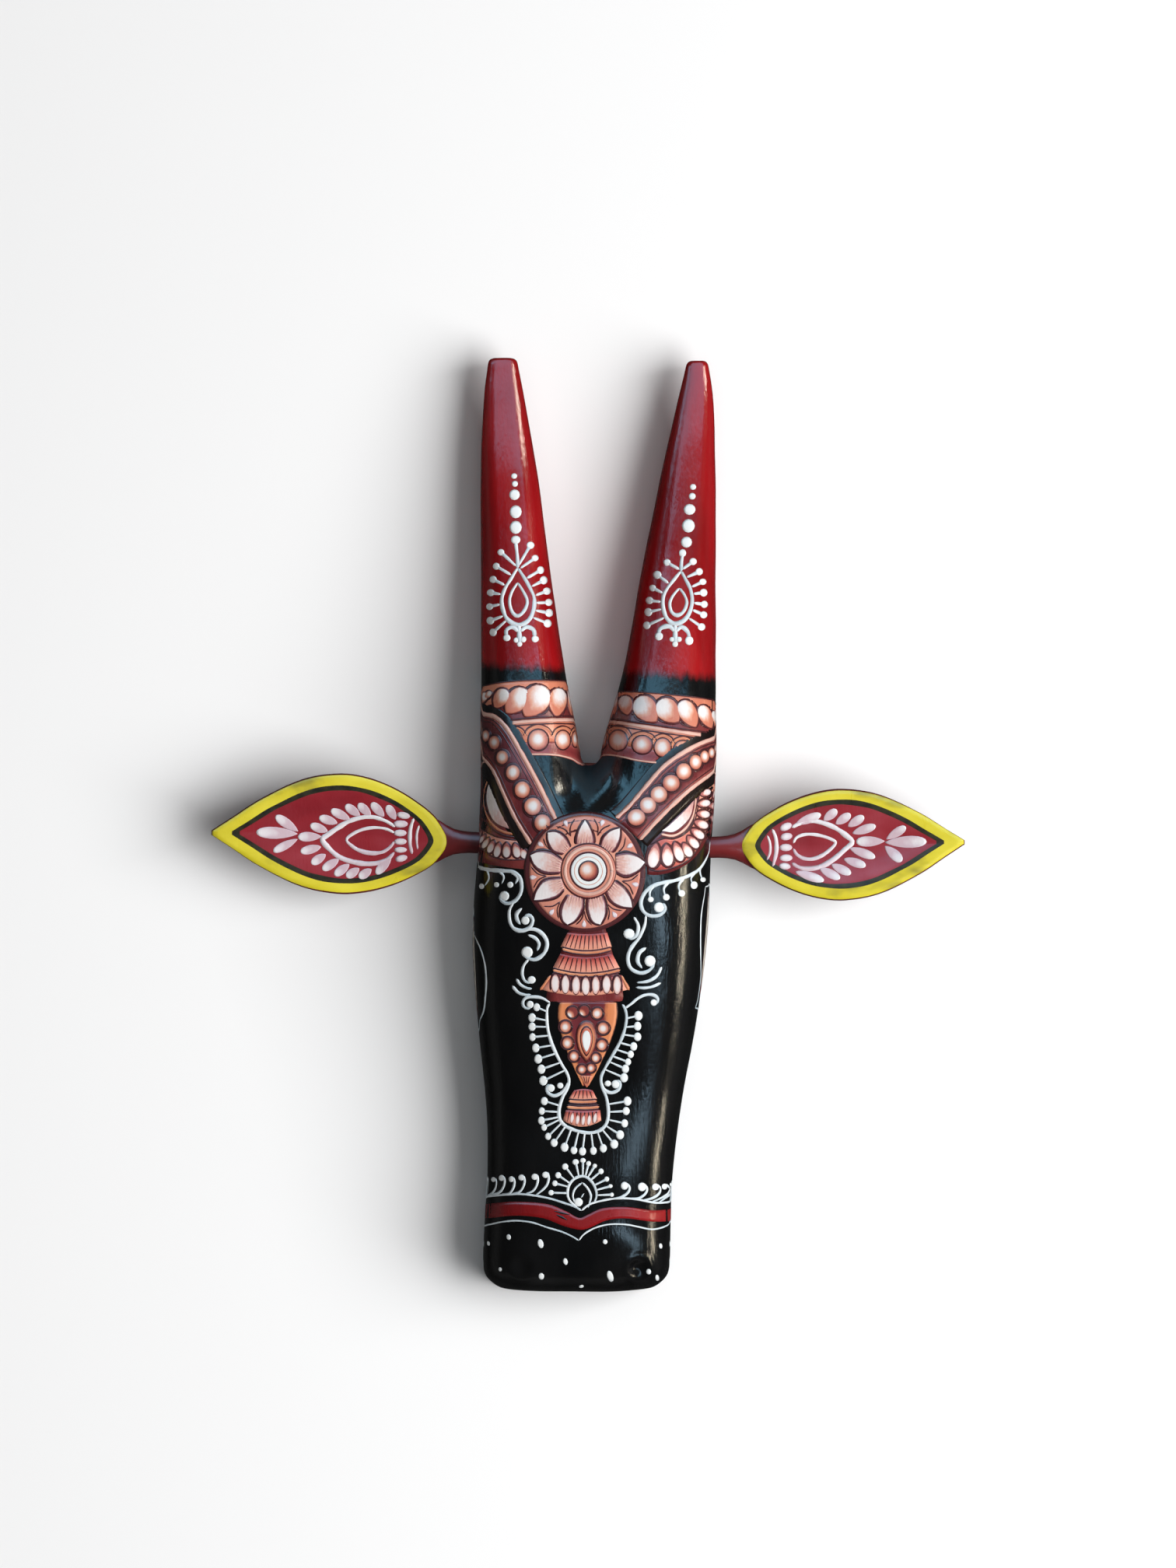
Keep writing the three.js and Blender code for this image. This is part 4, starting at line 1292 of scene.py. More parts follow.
# %% White outline of the pendant
OUTLINE_PATH = [
    (706.7, 1290), (703.5, 1296), (703, 1306), (703.4, 1317), (706, 1331), (710.5, 1345),
    (716.5, 1358), (723, 1370), (729, 1380), (731.6, 1389), (729.6, 1398), (723.3, 1410.6),
    (718.7, 1426), (719.4, 1438.7), (726, 1447), (736, 1452), (748, 1455.5), (759, 1456.5),
    (770, 1454), (777.5, 1448), (781.4, 1439), (782, 1426), (779.4, 1410.6), (774.3, 1398),
    (772.6, 1386), (776.8, 1375.5), (787, 1357.7), (797, 1340), (803, 1324), (805.5, 1308),
    (803.5, 1297), (799.8, 1291)]
HEADS = [
    (690, 1295, 4.6), (684, 1308.4, 5.2), (684, 1320, 5), (684.5, 1333.4, 4.6),
    (688.8, 1347.4, 5.2), (691.9, 1361.5, 5.4), (696, 1374.7, 5.4), (698.5, 1389.5, 5.6),
    (820.7, 1306, 5.6), (819.7, 1319.4, 5.2), (819.7, 1333, 5), (814.6, 1345.4, 5),
    (810.8, 1355.6, 4.4), (807.4, 1365.3, 4.2), (804, 1374.2, 5), (802.3, 1385.7, 5.4),
    (699.8, 1415.7, 4.8), (696.5, 1428.5, 4.4), (696, 1440.7, 4.8), (699.5, 1449.4, 4),
    (704.6, 1461, 4.2), (712.3, 1469.3, 4.8), (725.8, 1475, 5.4), (737.8, 1479, 4.6),
    (748.8, 1480.3, 5), (762.8, 1479.5, 4.8), (775.6, 1476.4, 5), (789.6, 1471, 5.4),
    (797.2, 1459, 5.4), (803, 1444.3, 4.8), (805, 1428.5, 4.8), (806.7, 1415.7, 5.4)]
net = new_net()
stroke(net, WHITE, OUTLINE_PATH, (3.2, 4.6, 3.8, 4.8, 4.2, 4.4, 3.8, 4.4, 3.2))
rim = dense(OUTLINE_PATH, False, 240)
WAIST, LEAN = 1400, 4  # above the waist the stalks lean down, in squares
for across, down, radius in HEADS:
    root = nearest_spot((across, down), rim)
    root = nearest_spot((root[0], root[1] + (LEAN if down < WAIST else 0)), rim)
    stroke(net, WHITE, [root, (across, down)], (2.2, 2.8))
    blob(net, DOT, (across, down), oval(radius * 0.95, radius * 1.12), 0.1, "dot")
for path, width, dabs in (
        ([(731, 1391), (724, 1403), (713, 1409), (704.5, 1405), (703, 1398), (708, 1394.5)],
         (3, 4.4, 4.2), [(708, 1399, 5.6), (720.2, 1395.8, 4)]),
        ([(773, 1391), (777, 1401), (786, 1405), (795, 1401), (797.5, 1393), (793, 1388.5)],
         (3, 4.4, 4.2), [(791.6, 1394, 6), (781.4, 1393, 4)]),
        ([(707.4, 1289.3), (696.5, 1283), (685, 1281.6), (676, 1283), (672, 1288.8),
          (674, 1295), (680, 1296.4), (684, 1291)], (2.4, 4.2, 4, 3), [(681.5, 1291.5, 4.4)]),
        ([(803.6, 1296.4), (812.5, 1290), (820.2, 1283.5), (830.4, 1279), (840.6, 1279.4),
          (846, 1284.5), (844, 1291)], (3.2, 3.2, 4.2, 3.6), [(840.6, 1289, 4.6)])):
    stroke(net, WHITE, path, width)
    dots(net, dabs)
piece("pendant_outline", net, LOOKS)

# %% [markdown]
# Curling scrolls grow down both sides of the face. Each is one loaded brush stroke, thin where the
# brush lands, full in the bend and thin again where it lifts, with a dab of paint in the curl.

# %% Scrolls beside the flower
SCROLLS = {
    "scroll_left": [
        ([(597, 1093), (604, 1104), (614.8, 1114), (626.3, 1118), (644, 1119.5), (660, 1121),
          (669, 1130), (670, 1146), (662.5, 1158), (651, 1161.5), (643.5, 1156), (644.5, 1149)],
         (3, 4.2, 4.8, 5.2, 4.8, 4.4), [(648.5, 1152, 6.2)]),
        ([(626, 1118.5), (628.6, 1129), (623.5, 1138.5)], (4, 3.4, 2), [(619.2, 1139.5, 3.2)]),
        ([(641, 1119.8), (647.6, 1127), (645, 1136.5)], (4, 3.4, 2), [(638.4, 1137.5, 3.4)]),
        ([(657, 1121), (665.5, 1128), (662.5, 1136.5)], (4, 3.6, 2), [(656, 1137.5, 3.8)]),
        ([(660, 1160.5), (654.8, 1171), (655.5, 1185), (661, 1194), (671.5, 1196.6),
          (681.5, 1192), (685, 1182.6), (680, 1176.6), (674, 1179)],
         (3, 4.6, 5.2, 4.8, 4), [(675.4, 1183.4, 5.4)]),
        ([(671, 1167.5), (664.4, 1174.5), (664.6, 1182), (669, 1188.5)], (2.4, 5, 5.4, 2.4), []),
        ([(671.5, 1196.6), (686.5, 1194.6), (698, 1201.5), (703.4, 1213), (699.6, 1225.5),
          (689, 1233.4), (678.6, 1232), (671.6, 1225.5)], (3, 4.8, 5, 4.8, 3.6),
         [(677.6, 1224.4, 7.4)]),
        ([(678.6, 1202), (688, 1206), (693, 1213.5), (690.6, 1222.4)], (2.4, 4.8, 5, 2.4), []),
        ([(679.6, 1233.4), (673, 1242), (671.4, 1252.6), (675, 1261.5), (682.5, 1264)],
         (3, 4, 4, 3), [(683.4, 1259.8, 5)]),
        ([(664, 1258.5), (669, 1266), (678, 1270.6), (684, 1271)], (4, 3.8, 2.4), []),
        ([(658.4, 1267.4), (666, 1276), (675, 1279), (682.6, 1278.4)], (4.4, 4, 2.4), [])],
    "scroll_right": [
        ([(914.5, 1082), (910, 1100), (900, 1116.5), (886.5, 1125.5), (866, 1132.5), (846, 1136.5),
          (831.4, 1145), (824, 1158.7), (826.6, 1171), (836, 1177.4), (848.3, 1176.5),
          (855.6, 1169), (852.4, 1161.4)], (3, 4.4, 4.6, 5, 4.6, 4.2), [(847.4, 1166.6, 6.4)]),
        ([(841, 1139), (835.6, 1146), (835.6, 1155)], (3.6, 3, 2), [(836.6, 1156.4, 3.6)]),
        ([(860, 1134), (853.6, 1142), (855, 1152)], (3.8, 3.4, 2), [(856.6, 1153.6, 4.2)]),
        ([(880, 1128.6), (872.6, 1138), (874.4, 1147.4)], (4, 3.6, 2), [(876.4, 1148.5, 4.4)]),
        ([(894.6, 1121), (888.5, 1129), (890.5, 1137)], (4, 3.6, 2), [(892.4, 1138, 4.4)]),
        ([(903, 1111.5), (900, 1120), (903, 1131.4)], (4, 3.6, 2), [(904, 1131, 3.6)]),
        ([(815, 1179), (820.4, 1189.3), (819, 1201), (812, 1207), (805.5, 1204)],
         (3, 4.4, 4.4, 3), [(808.6, 1200.6, 7)]),
        ([(830.4, 1176.8), (829, 1189.3), (821.5, 1206), (811, 1219.5), (807.2, 1232.7),
          (811, 1245), (822.8, 1251), (834.2, 1248), (841.6, 1239.6)],
         (3, 4, 4.6, 5, 4.6, 3.4), [(835.6, 1235.6, 7)]),
        ([(830.8, 1218.4), (822, 1225), (819.8, 1236), (825.6, 1245)], (3, 5.4, 5.4, 2.4), []),
        ([(850.8, 1243), (844.6, 1254.6), (833, 1261.6), (818.6, 1263.4)], (3.4, 4.2, 4, 2.4), []),
        ([(850, 1263.6), (838.6, 1268.6), (828, 1270.2), (817.4, 1269.4)], (3, 4, 4, 2.4), [])],
}
for name, curls in SCROLLS.items():
    net = new_net()
    for path, width, dabs in curls:
        stroke(net, WHITE, path, width, chart=around_face)
        dots(net, dabs)
    piece(name, net, LOOKS)

# %% [markdown]
# From the front only the edge of the next ornament shows: a white line down each side of the face
# with something cream beyond it. On the side walls it is painted as a plain cream leaf inside that
# line, with a row of dots behind it, in keeping with the rest.

# %% Cream leaves on the side walls
SIDE_LEAVES = {  # which side, the face's edge, the leaf's middle, and the white line beside it
    "side_left": (-1, 608, 1243, [(609.7, 1202), (618.7, 1222.4), (623.8, 1243),
                                  (625, 1263.3), (623.8, 1283.7), (621.2, 1301.5), (612, 1322)]),
    "side_right": (1, 910, 1215, [(907, 1140), (905.7, 1151), (901.8, 1176.5), (900.8, 1207),
                                  (901.2, 1243), (900.6, 1273.5), (894, 1296)]),
}
for name, (sign, edge, middle, line) in SIDE_LEAVES.items():
    net = new_net()
    stroke(net, WHITE, line, (1.6, 3.2, 3.8, 3.2, 1.6), chart=around_face)
    back = [line[0], (edge + sign * 30, middle - 75), (edge + sign * 62, middle - 30),
            (edge + sign * 66, middle + 20), (edge + sign * 34, middle + 78), line[-1]]
    stroke(net, WHITE, back, (1.6, 3.0, 3.4, 3.0, 1.6), chart=around_face)
    tip_up, tip_down = (edge + sign * 8, middle - 68), (edge + sign * 10, middle + 66)
    inner = [tip_up, (edge - sign * 1, middle - 30), (edge - sign * 2, middle + 20), tip_down]
    outer = [tip_up, (edge + sign * 40, middle - 34), (edge + sign * 44, middle + 22), tip_down]
    patch(net, CREAM, inner, outer, 0.07, 8, around_face)
    for side in (inner, outer):
        stroke(net, OUTLINE, side, 2.2, 0.03, around_face, base=0.08)
    vein = between(inner, outer, 0.5)
    stroke(net, RED, vein, (1.6, 4, 1.6), 0.03, around_face, base=0.08)
    for k in range(8, 56, 6):
        for share in (0.12, 0.88):
            spot = between(inner, outer, share)[min(k + 6, 60)]
            stroke(net, OUTLINE, [vein[k], spot], (2.0, 1.0), 0.02, around_face,
                   base=0.08)
    dots(net, [(edge + sign * (82 - abs(k - 4) * 5), middle - 72 + k * 18, 4.2)
               for k in range(9)], chart=around_face)
    piece(name, net, LOOKS)

# %% [markdown]
# The eyes look out sideways from under the bands, so the front shows little more than half of
# each: a long white almond shaded pink, an orange lid round it, and a fringe of lashes painted as
# plump white drops. The fringe goes on round the eye down the side wall.

# %% Eyes
EYES = {
    "eye_left": dict(
        side=-1, centre=(652, 1040),
        shadow=([(560, 962), (590, 972), (606, 978), (619, 986), (632, 1006), (646, 1030),
                 (658, 1055), (672, 1081), (679, 1094)],
                [(530, 1010), (536, 1058), (566, 1096), (596, 1110), (613, 1108), (632, 1112),
                 (651, 1115), (666, 1117), (680, 1118)]),
        fringe=([(566, 982), (560, 1012), (572, 1040), (592, 1058), (612, 1064), (622, 1068),
                 (636, 1075), (654, 1079), (672, 1081)],
                [(540, 986), (540, 1030), (560, 1072), (590, 1094), (610, 1090), (621, 1092.5),
                 (633, 1101), (652, 1105.5), (676, 1105)]),
        almond=([(629, 1004), (636, 1020), (643, 1034), (651, 1048), (661.6, 1067)],
                [(629, 1004), (624.6, 1026), (628, 1046), (638, 1060), (661.6, 1068)]),
        lids=[([(630, 998), (623.4, 1014), (622, 1032), (626.6, 1050), (636, 1062.6),
                (648, 1069.6), (664, 1073)], ORANGE, 3.6),
              ([(627, 996), (620.2, 1014), (618.6, 1034), (623.6, 1054), (634, 1066.6),
                (648, 1074), (666, 1077)], OUTLINE, 2.8)],
        lashes=[(673, 1097, 7.6, 4.2), (664, 1093.4, 10.4, 4.8), (651.4, 1093, 10.6, 4.8),
                (640, 1092.6, 10.4, 4.2), (631.6, 1088.6, 9.4, 3.8), (625, 1083.6, 8.6, 3.2),
                (620, 1078.4, 7.8, 2.8), (615.6, 1072.6, 7, 2.4), (601, 1074, 10, 4.4),
                (586, 1070, 10, 4.6), (572, 1062, 10, 4.6), (560, 1050, 10, 4.6),
                (552, 1036, 10, 4.6), (549, 1020, 10, 4.6), (550, 1004, 10, 4.6)]),
    "eye_right": dict(
        side=1, centre=(852, 1040),
        shadow=([(831.4, 1090), (840, 1080), (855, 1066), (872, 1049), (890, 1032), (905, 1017),
                 (918, 1003), (940, 994), (968, 990)],
                [(832, 1124.5), (845, 1125), (862, 1121.4), (880, 1113), (893, 1102.6),
                 (903, 1090), (912, 1076), (946, 1058), (984, 1018)]),
        fringe=([(835, 1086), (853, 1078), (868, 1077.5), (881, 1070), (889, 1059), (894, 1044),
                 (897, 1030), (903, 1014), (916, 1006)],
                [(833, 1117), (846, 1120), (866, 1115.6), (886, 1105), (899, 1088), (908, 1068),
                 (913, 1046), (930, 1030), (950, 1012)]),
        almond=([(851, 1068), (858, 1062), (868, 1052), (880, 1041), (892, 1029)],
                [(851, 1068), (866, 1070.6), (880, 1061), (889, 1048), (892, 1029)]),
        lids=[([(850, 1072.4), (866, 1074.4), (880.4, 1066), (889.8, 1052), (893.4, 1038),
                (894.6, 1026)], PALE, 3.4),
              ([(850, 1076.4), (867, 1078), (883.6, 1069), (893.4, 1054), (897.2, 1038),
                (898.6, 1022)], OUTLINE, 2.6)],
        lashes=[(840.8, 1100, 17, 7.2), (858, 1099.6, 15.4, 7), (871.6, 1095, 13.6, 5.8),
                (883.2, 1092.6, 10.6, 5.2), (890.6, 1082.4, 10.8, 5), (896.8, 1071.6, 10.8, 5),
                (901.4, 1059.4, 10, 5), (904, 1046.6, 9, 4.6), (904.6, 1033, 9, 4.4),
                (907, 1019.4, 7.4, 4), (919, 1036, 9, 4.4), (921, 1052, 9, 4.4),
                (924, 1022, 9, 4.4)]),
}
eye_covers = [inside(beside(BAND_LEFT["upper"], 0) + beside(BAND_LEFT["lower"], -12)[::-1]),
              inside(beside(BAND_RIGHT["upper"], 0) + beside(BAND_RIGHT["lower"], 12)[::-1])]
for name, eye in EYES.items():
    covered = eye_covers
    net = new_net()
    patch(net, MAROON, *eye["shadow"], 0.05, 8, around_face)
    patch(net, FLUTED, *eye["fringe"], 0.07, 6, around_face)
    patch(net, BLOSSOM, *eye["almond"], 0.09, 8, around_face, dome=0.04)
    for path, look, width in eye["lids"]:
        stroke(net, look, path, width, 0.05, around_face, base=0.08)
    for across, down, length, wide in eye["lashes"]:
        turn = math.degrees(math.atan2(down - eye["centre"][1], eye["centre"][0] - across))
        blob(net, OUTLINE, (across, down), drop(length * 1.12, wide * 1.3 + 0.8, turn, 0.3),
             0.02, base=0.08, chart=around_face)
        blob(net, PETAL, (across, down), drop(length, wide, turn, 0.35), 0.06,
             shine=(-0.4, 0), base=0.10, chart=around_face)
    for path in eye["fringe"]:
        stroke(net, OUTLINE, path, 2.0, 0.03, around_face, base=0.09)
    piece(name, net, LOOKS)
covered = []

# %% [markdown]
# Across the muzzle runs a harness: a red stripe between two white lines that dip to a point in the
# middle, with a row of commas above it and a peacock feather over the point. Small dabs below it
# stand for whiskers.

# %% Muzzle
STRIPE_TOP = [(545, 1549), (575, 1549), (605, 1548.5), (625, 1548), (662, 1545), (703, 1548),
              (727, 1557), (744.5, 1566), (757, 1561), (775, 1553.5), (805, 1552), (838, 1556),
              (862, 1555), (885, 1554), (920, 1554)]
STRIPE_LOW = [(545, 1567), (575, 1567), (605, 1567), (625, 1566.5), (662, 1563), (697, 1566),
              (724, 1576), (744.5, 1581), (757, 1579), (780, 1569), (805, 1566.5), (838, 1570.5),
              (862, 1570), (885, 1569), (920, 1569)]
UPPER_LEFT = [(545, 1540), (575, 1540), (605, 1539.6), (629, 1538), (655, 1535.6), (675, 1535.6),
              (703, 1540), (725, 1546.6), (739, 1551.4), (747.5, 1556.5)]
UPPER_RIGHT = [(747.5, 1556.5), (756, 1549.6), (766, 1545.6), (790, 1541), (815, 1541.4),
               (843, 1546.4), (864, 1545), (885, 1543), (920, 1543)]
LOWER_LEFT = [(545, 1577), (575, 1577), (605, 1576.6), (626, 1575), (645, 1571), (665, 1569.4),
              (685, 1572), (703, 1578), (722, 1583.6), (736, 1590), (744, 1595)]
LOWER_RIGHT = [(744, 1595), (750, 1587.6), (759, 1581.5), (770, 1577), (785, 1574), (805, 1574.4),
               (822, 1577.6), (838, 1580.6), (852, 1578), (866, 1572), (885, 1571), (920, 1571)]
net = new_net()
patch(net, RED, STRIPE_TOP, STRIPE_LOW, 0.07, 4, around_face)
for path, wide in (([(712, 1557), (722, 1559.6), (733, 1562)], 2.6),
                   ([(715, 1561.6), (722, 1565), (730, 1569)], 3)):
    stroke(net, BLACK, path, (1, wide, 1), 0.02, base=0.08)
stroke(net, BLACK, [(857, 1556.5), (857.6, 1569)], 1.8, 0.02, around_face, base=0.08)
for path, width in ((UPPER_LEFT, 2.6), (UPPER_RIGHT, 2.6), (LOWER_LEFT, 2.0), (LOWER_RIGHT, 2.0)):
    stroke(net, WHITE, path, width, 0.07, around_face)
COMMAS = [(566, 1517, 3, -1), (580, 1516.5, 3, -1), (594, 1516.5, 3, -1), (606, 1516.5, 3, -1),
          (620, 1516.5, 2.4, -1), (635, 1516.5, 2.8, -1), (645.5, 1514.5, 3.4, -1),
          (658, 1516, 3.4, -1), (671, 1514, 4, -1), (688, 1513, 4.6, -1), (702, 1510.5, 4.4, -1),
          (803.5, 1524.5, 5, 1), (826, 1526, 5.6, 1), (843.4, 1526, 4.2, 1), (855, 1525.6, 3.6, 1),
          (864, 1523, 2.4, 1), (878, 1522, 3.4, 1), (892, 1521, 3.4, 1), (906, 1520.6, 3.4, 1)]
for across, down, radius, sign in COMMAS:
    if sign < 0:
        foot = nearest_spot((across - 14, down + 26), dense(UPPER_LEFT, False))
        foot = (foot[0], foot[1] - 1)
        tail = [(across + radius * 0.4, down - radius * 0.8), (across + 3.4, down + 3),
                (across + 1.6, down + 12), (across - 4, down + 19), foot]
    else:
        foot = nearest_spot((across - 18, down + 22), dense(UPPER_RIGHT, False))
        tail = [(across + 1, down - radius * 0.8), (across + 6, down + 2),
                (across + 3.6, down + 9), (across - 5, down + 14.6), foot]
    stroke(net, WHITE, tail, (2.6, 3.6, 3, 1.8), chart=around_face)
    dots(net, [(across - 0.6, down, radius)], chart=around_face)
ARCH = [(742, 1552), (733.5, 1545), (729.6, 1536), (731, 1525), (737, 1516.6), (745, 1512.6),
        (753, 1513), (760, 1518.5), (765, 1527), (767, 1537), (764, 1546)]
stroke(net, WHITE, ARCH, (2.6, 3.4, 3.6, 3.4, 2.4))
for path, width in (
        ([(738.6, 1546), (736.4, 1537), (739.6, 1528), (748.4, 1520.4)], (2, 3, 2.4)),
        ([(748.4, 1520.4), (755, 1527), (759.6, 1537), (757.6, 1547.6), (756, 1553)],
         (2.4, 3, 1.8)),
        ([(751, 1534), (747, 1540)], (1, 2.4))):
    stroke(net, WHITE, path, width)
dots(net, [(743.6, 1545.6, 5.6)])
EYELETS = [(708.5, 1533.4, 3.8), (713.4, 1521.4, 3.8), (717.6, 1511, 4), (726.6, 1500, 4),
           (740, 1494, 4), (749.4, 1492, 3.6), (756.6, 1496, 3.4), (764.6, 1499, 3.2),
           (772.6, 1506, 3.4), (780, 1516, 3.4), (784.8, 1525, 2.8), (786.6, 1536, 2.8)]
stalks(net, EYELETS, dense(ARCH, False), (2.2, 3))
WHISKERS = [
    (628, 1598.6, 1.8, 3), (654, 1590.5, 2.8, 3.6), (695, 1599, 3.8, 6), (727, 1622, 3, 4.4),
    (643, 1632, 2, 2.6), (696, 1641, 3.6, 4.2), (747.5, 1654, 3, 1.8), (778, 1596.6, 3, 3.2),
    (784.5, 1641, 3.8, 7.4), (834, 1635, 3, 3.6), (849.5, 1602, 2, 3.4), (845, 1643, 2.4, 4),
    (600, 1600, 3, 4), (590, 1625, 3, 4), (572, 1606, 3, 4), (882, 1600, 3, 4),
    (893, 1622, 3, 4), (908, 1604, 3, 4)]
for across, down, wide, tall in WHISKERS:
    blob(net, DOT, (across, down), oval(wide, tall, hand.random() * 20), 0.09, "dot",
         chart=around_face)
piece("muzzle", net, LOOKS)

# %% [markdown]
# The ears are flat plates with a shallow hollow in the face and a stem that goes into the head.
# One loop of corners is set on the leaf outline and drawn inward over the front and the back, so
# the rounded rim, the flat yellow border, the black line and the red hollow are rings of the same
# mesh. The stem is a round bar that widens softly into the plate.

# %% Ears
EAR_OUTLINE = [(0, 0.2), (0.05, 0.37), (0.11, 0.55), (0.22, 0.79), (0.34, 0.95), (0.46, 1),
               (0.62, 0.89), (0.8, 0.55), (0.92, 0.24), (1, 0.035)]
EARS = {  # length, width, upward bend, where the stem meets the plate, turn, roll, stem length
    "ear_left": (91.5, 46.6, 1.5, (-53.87, -6.3, 24), 177.8, -5, 24.4),
    "ear_right": (86.6, 43.2, 0, (58.72, -8.3, 24), 1.1, -5, 24.1),
}
LEAF_CORNERS = 128
EAR_RINGS = [  # inward at the side, the root and the tip, height, and the unpainted lip, in mm
    (0.0, 0.0, 0.0, 0.8, 0), (0.08, 0.1, 0.1, 2.0, 0), (0.3, 0.3, 0.4, 2.9, 0.9),
    (0.8, 0.7, 0.9, 3.25, 0.8), (2.6, 2.6, 3.4, 3.32, 0), (4.3, 5.7, 8.0, 3.28, 0),
    (6.2, 7.8, 11.0, 3.12, 0), (7.0, 8.9, 12.4, 2.98, 0)]
EAR_RING_LOOKS = (0, 0, 1, 1, 1, 2, 3)  # the finish of the faces between one ring and the next
EAR_BACK = [(0.15, 0.1, 0.1, -1.6, 0), (0.8, 0.5, 0.6, -2.8, 0), (2.0, 1.6, 2.2, -3.35, 0),
            (6, 6, 9, -3.45, 0), (13, 18, 26, -3.45, 0)]
HOLLOW, HOLLOW_HEART = 2.1, 0.47  # how deep, in mm, and where along the leaf it is deepest
RED_HOLLOW = 3  # its place in the list of finishes
STEM_CORNERS = 32
STEM_SECTIONS = [  # along the stem, half width and half height, in mm
    (-12, 4.1, 4.1), (-8, 4.15, 4.1), (-5, 4.4, 4.0), (-2, 5.0, 3.7), (1, 6.4, 3.2),
    (4, 8.2, 2.6), (8, 10, 2.2)]
SHARP_FOLD = math.radians(50)
CHIP, CHIP_LENGTH = 0.12, 9  # small unevenness of the whittled wood, in mm


def leaf_corner(size, ring, turn):
    """A corner of the leaf, turn going once round from the root over the tip."""
    length, width, bend = size
    side, root, tip, height, lip = ring
    share = (1 - math.cos(turn)) / 2
    blunt = math.sqrt(1 - (1 - min(share / 0.07, 1)) ** 2)  # rounds the end at the root
    reach = through(EAR_OUTLINE, 1)(share) * width / 2 * blunt
    side += lip * max(math.sin(turn), 0) * (1 - share)
    if side > 3:
        side += 0.3 * noise.noise(Vector((math.cos(turn) * 4, math.sin(turn) * 4, side)))
    shrink = 1 - side / (width / 2)
    x = root + (length - root - tip) * share
    bent = bend * math.sin(math.pi * x / length)
    return Vector((x, math.copysign(reach * shrink, math.sin(turn)) - bent, height))


def ring_of_ear(size, ring):
    return [leaf_corner(size, ring, 2 * math.pi * (k + 0.5) / LEAF_CORNERS)
            for k in range(LEAF_CORNERS)]


def ring_of_stem(x, wide, tall):
    return [Vector((x, wide * math.cos(turn), tall * math.sin(turn)))
            for turn in (k * math.pi / (STEM_CORNERS / 2) for k in range(STEM_CORNERS))]


def first_ring(places):
    """A closed ring of corners at the places, and its edges."""
    ring = bmesh.ops.create_circle(cage, segments=len(places), radius=1)["verts"]
    for corner, place in zip(ring, places):
        corner.co = place
    return ring, [e for e in cage.edges if e.verts[0] in ring and e.verts[1] in ring]


def draw_and_paint(edges, ring, places, look):
    before = set(cage.faces)
    drawn = draw_on(edges, ring, places)
    for face in cage.faces:
        if face not in before:
            face.material_index = look
    return drawn


def ear_paint(name, stops, scale, streak=0.25, detail=3):
    material, tree, shader = finish(name)
    tree.links.new(ramp(tree, grain(tree, scale, (0.5, 1, 1), detail), stops),
                   shader.inputs["Base Color"])
    varnish(tree, shader, streak, (0.26, 0.42))
    return material


EAR_LOOKS = [
    ear_paint("ear_red", [(0.3, (0.085, 0.010, 0.011)), (0.7, (0.16, 0.016, 0.017))], 120),
    ear_paint("ear_yellow", [(0.30, (0.34, 0.29, 0.022)), (0.43, (0.62, 0.53, 0.022)),
                             (0.7, (0.74, 0.64, 0.040))], 90),
    ear_paint("ear_line", [(0.3, (0.010, 0.010, 0.007)), (0.75, (0.040, 0.034, 0.016))], 420),
    ear_paint("ear_hollow", [(0.3, (0.20, 0.010, 0.016)), (0.52, (0.27, 0.017, 0.025)),
                             (0.72, (0.33, 0.042, 0.056))], 60),
]
ear_surfaces = {}
for name, (length, width, bend, root, turn, roll, stem) in EARS.items():
    size = (length, width, bend)
    cage = bmesh.new()
    first, edges = first_ring(ring_of_ear(size, EAR_RINGS[0]))
    ring = first
    for step, look in zip(EAR_RINGS[1:], EAR_RING_LOOKS):
        ring, edges = draw_and_paint(edges, ring, ring_of_ear(size, step), look)
    inner = [corner.co.copy() for corner in ring]
    heart = Vector((length * HOLLOW_HEART, -bend, inner[0].z))
    for share in (0.9, 0.75, 0.6, 0.45, 0.3, 0.15):
        sunk = Vector((0, 0, HOLLOW * (1 - share * share)))
        ring, edges = draw_and_paint(edges, ring, [heart.lerp(place, share) - sunk
                                                   for place in inner], RED_HOLLOW)
    cap = bmesh.ops.contextual_create(cage, geom=edges)["faces"]
    cap[0].material_index = RED_HOLLOW
    bmesh.ops.poke(cage, faces=cap)
    ring, edges = first, [e for e in cage.edges if len(e.link_faces) == 1]
    for step in EAR_BACK:
        ring, edges = draw_on(edges, ring, ring_of_ear(size, step))
    bmesh.ops.poke(cage, faces=bmesh.ops.contextual_create(cage, geom=edges)["faces"])

    bar, bar_edges = first_ring(ring_of_stem(-stem, *STEM_SECTIONS[0][1:]))
    bmesh.ops.contextual_create(cage, geom=bar_edges)
    for section in STEM_SECTIONS:
        bar, bar_edges = draw_on(bar_edges, bar, ring_of_stem(*section))
    bmesh.ops.contextual_create(cage, geom=bar_edges)
    bmesh.ops.recalc_face_normals(cage, faces=cage.faces)
    for vert in cage.verts:
        vert.co += Vector((0, 0, CHIP)) * noise.noise(vert.co / CHIP_LENGTH)
    turned = (Matrix.Translation(Vector(root)) @ Matrix.Rotation(math.radians(turn), 4, "Z")
              @ Matrix.Rotation(math.radians(roll), 4, "X"))
    bmesh.ops.transform(cage, matrix=Matrix.Scale(MM, 4) @ turned, verts=cage.verts)
    for face in cage.faces:
        face.smooth = True
    for edge in cage.edges:
        edge.smooth = edge.calc_face_angle(0) < SHARP_FOLD
    ear_surfaces[name] = BVHTree.FromBMesh(cage)
    carved = piece("carved_" + name, cage, EAR_LOOKS)
    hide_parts(name)

# %% [markdown]
# In each hollow a white flower bud lies on its side: two drops one in the other, a fan of dabs
# round them, three crossed strokes at the root and a lily at the tip.

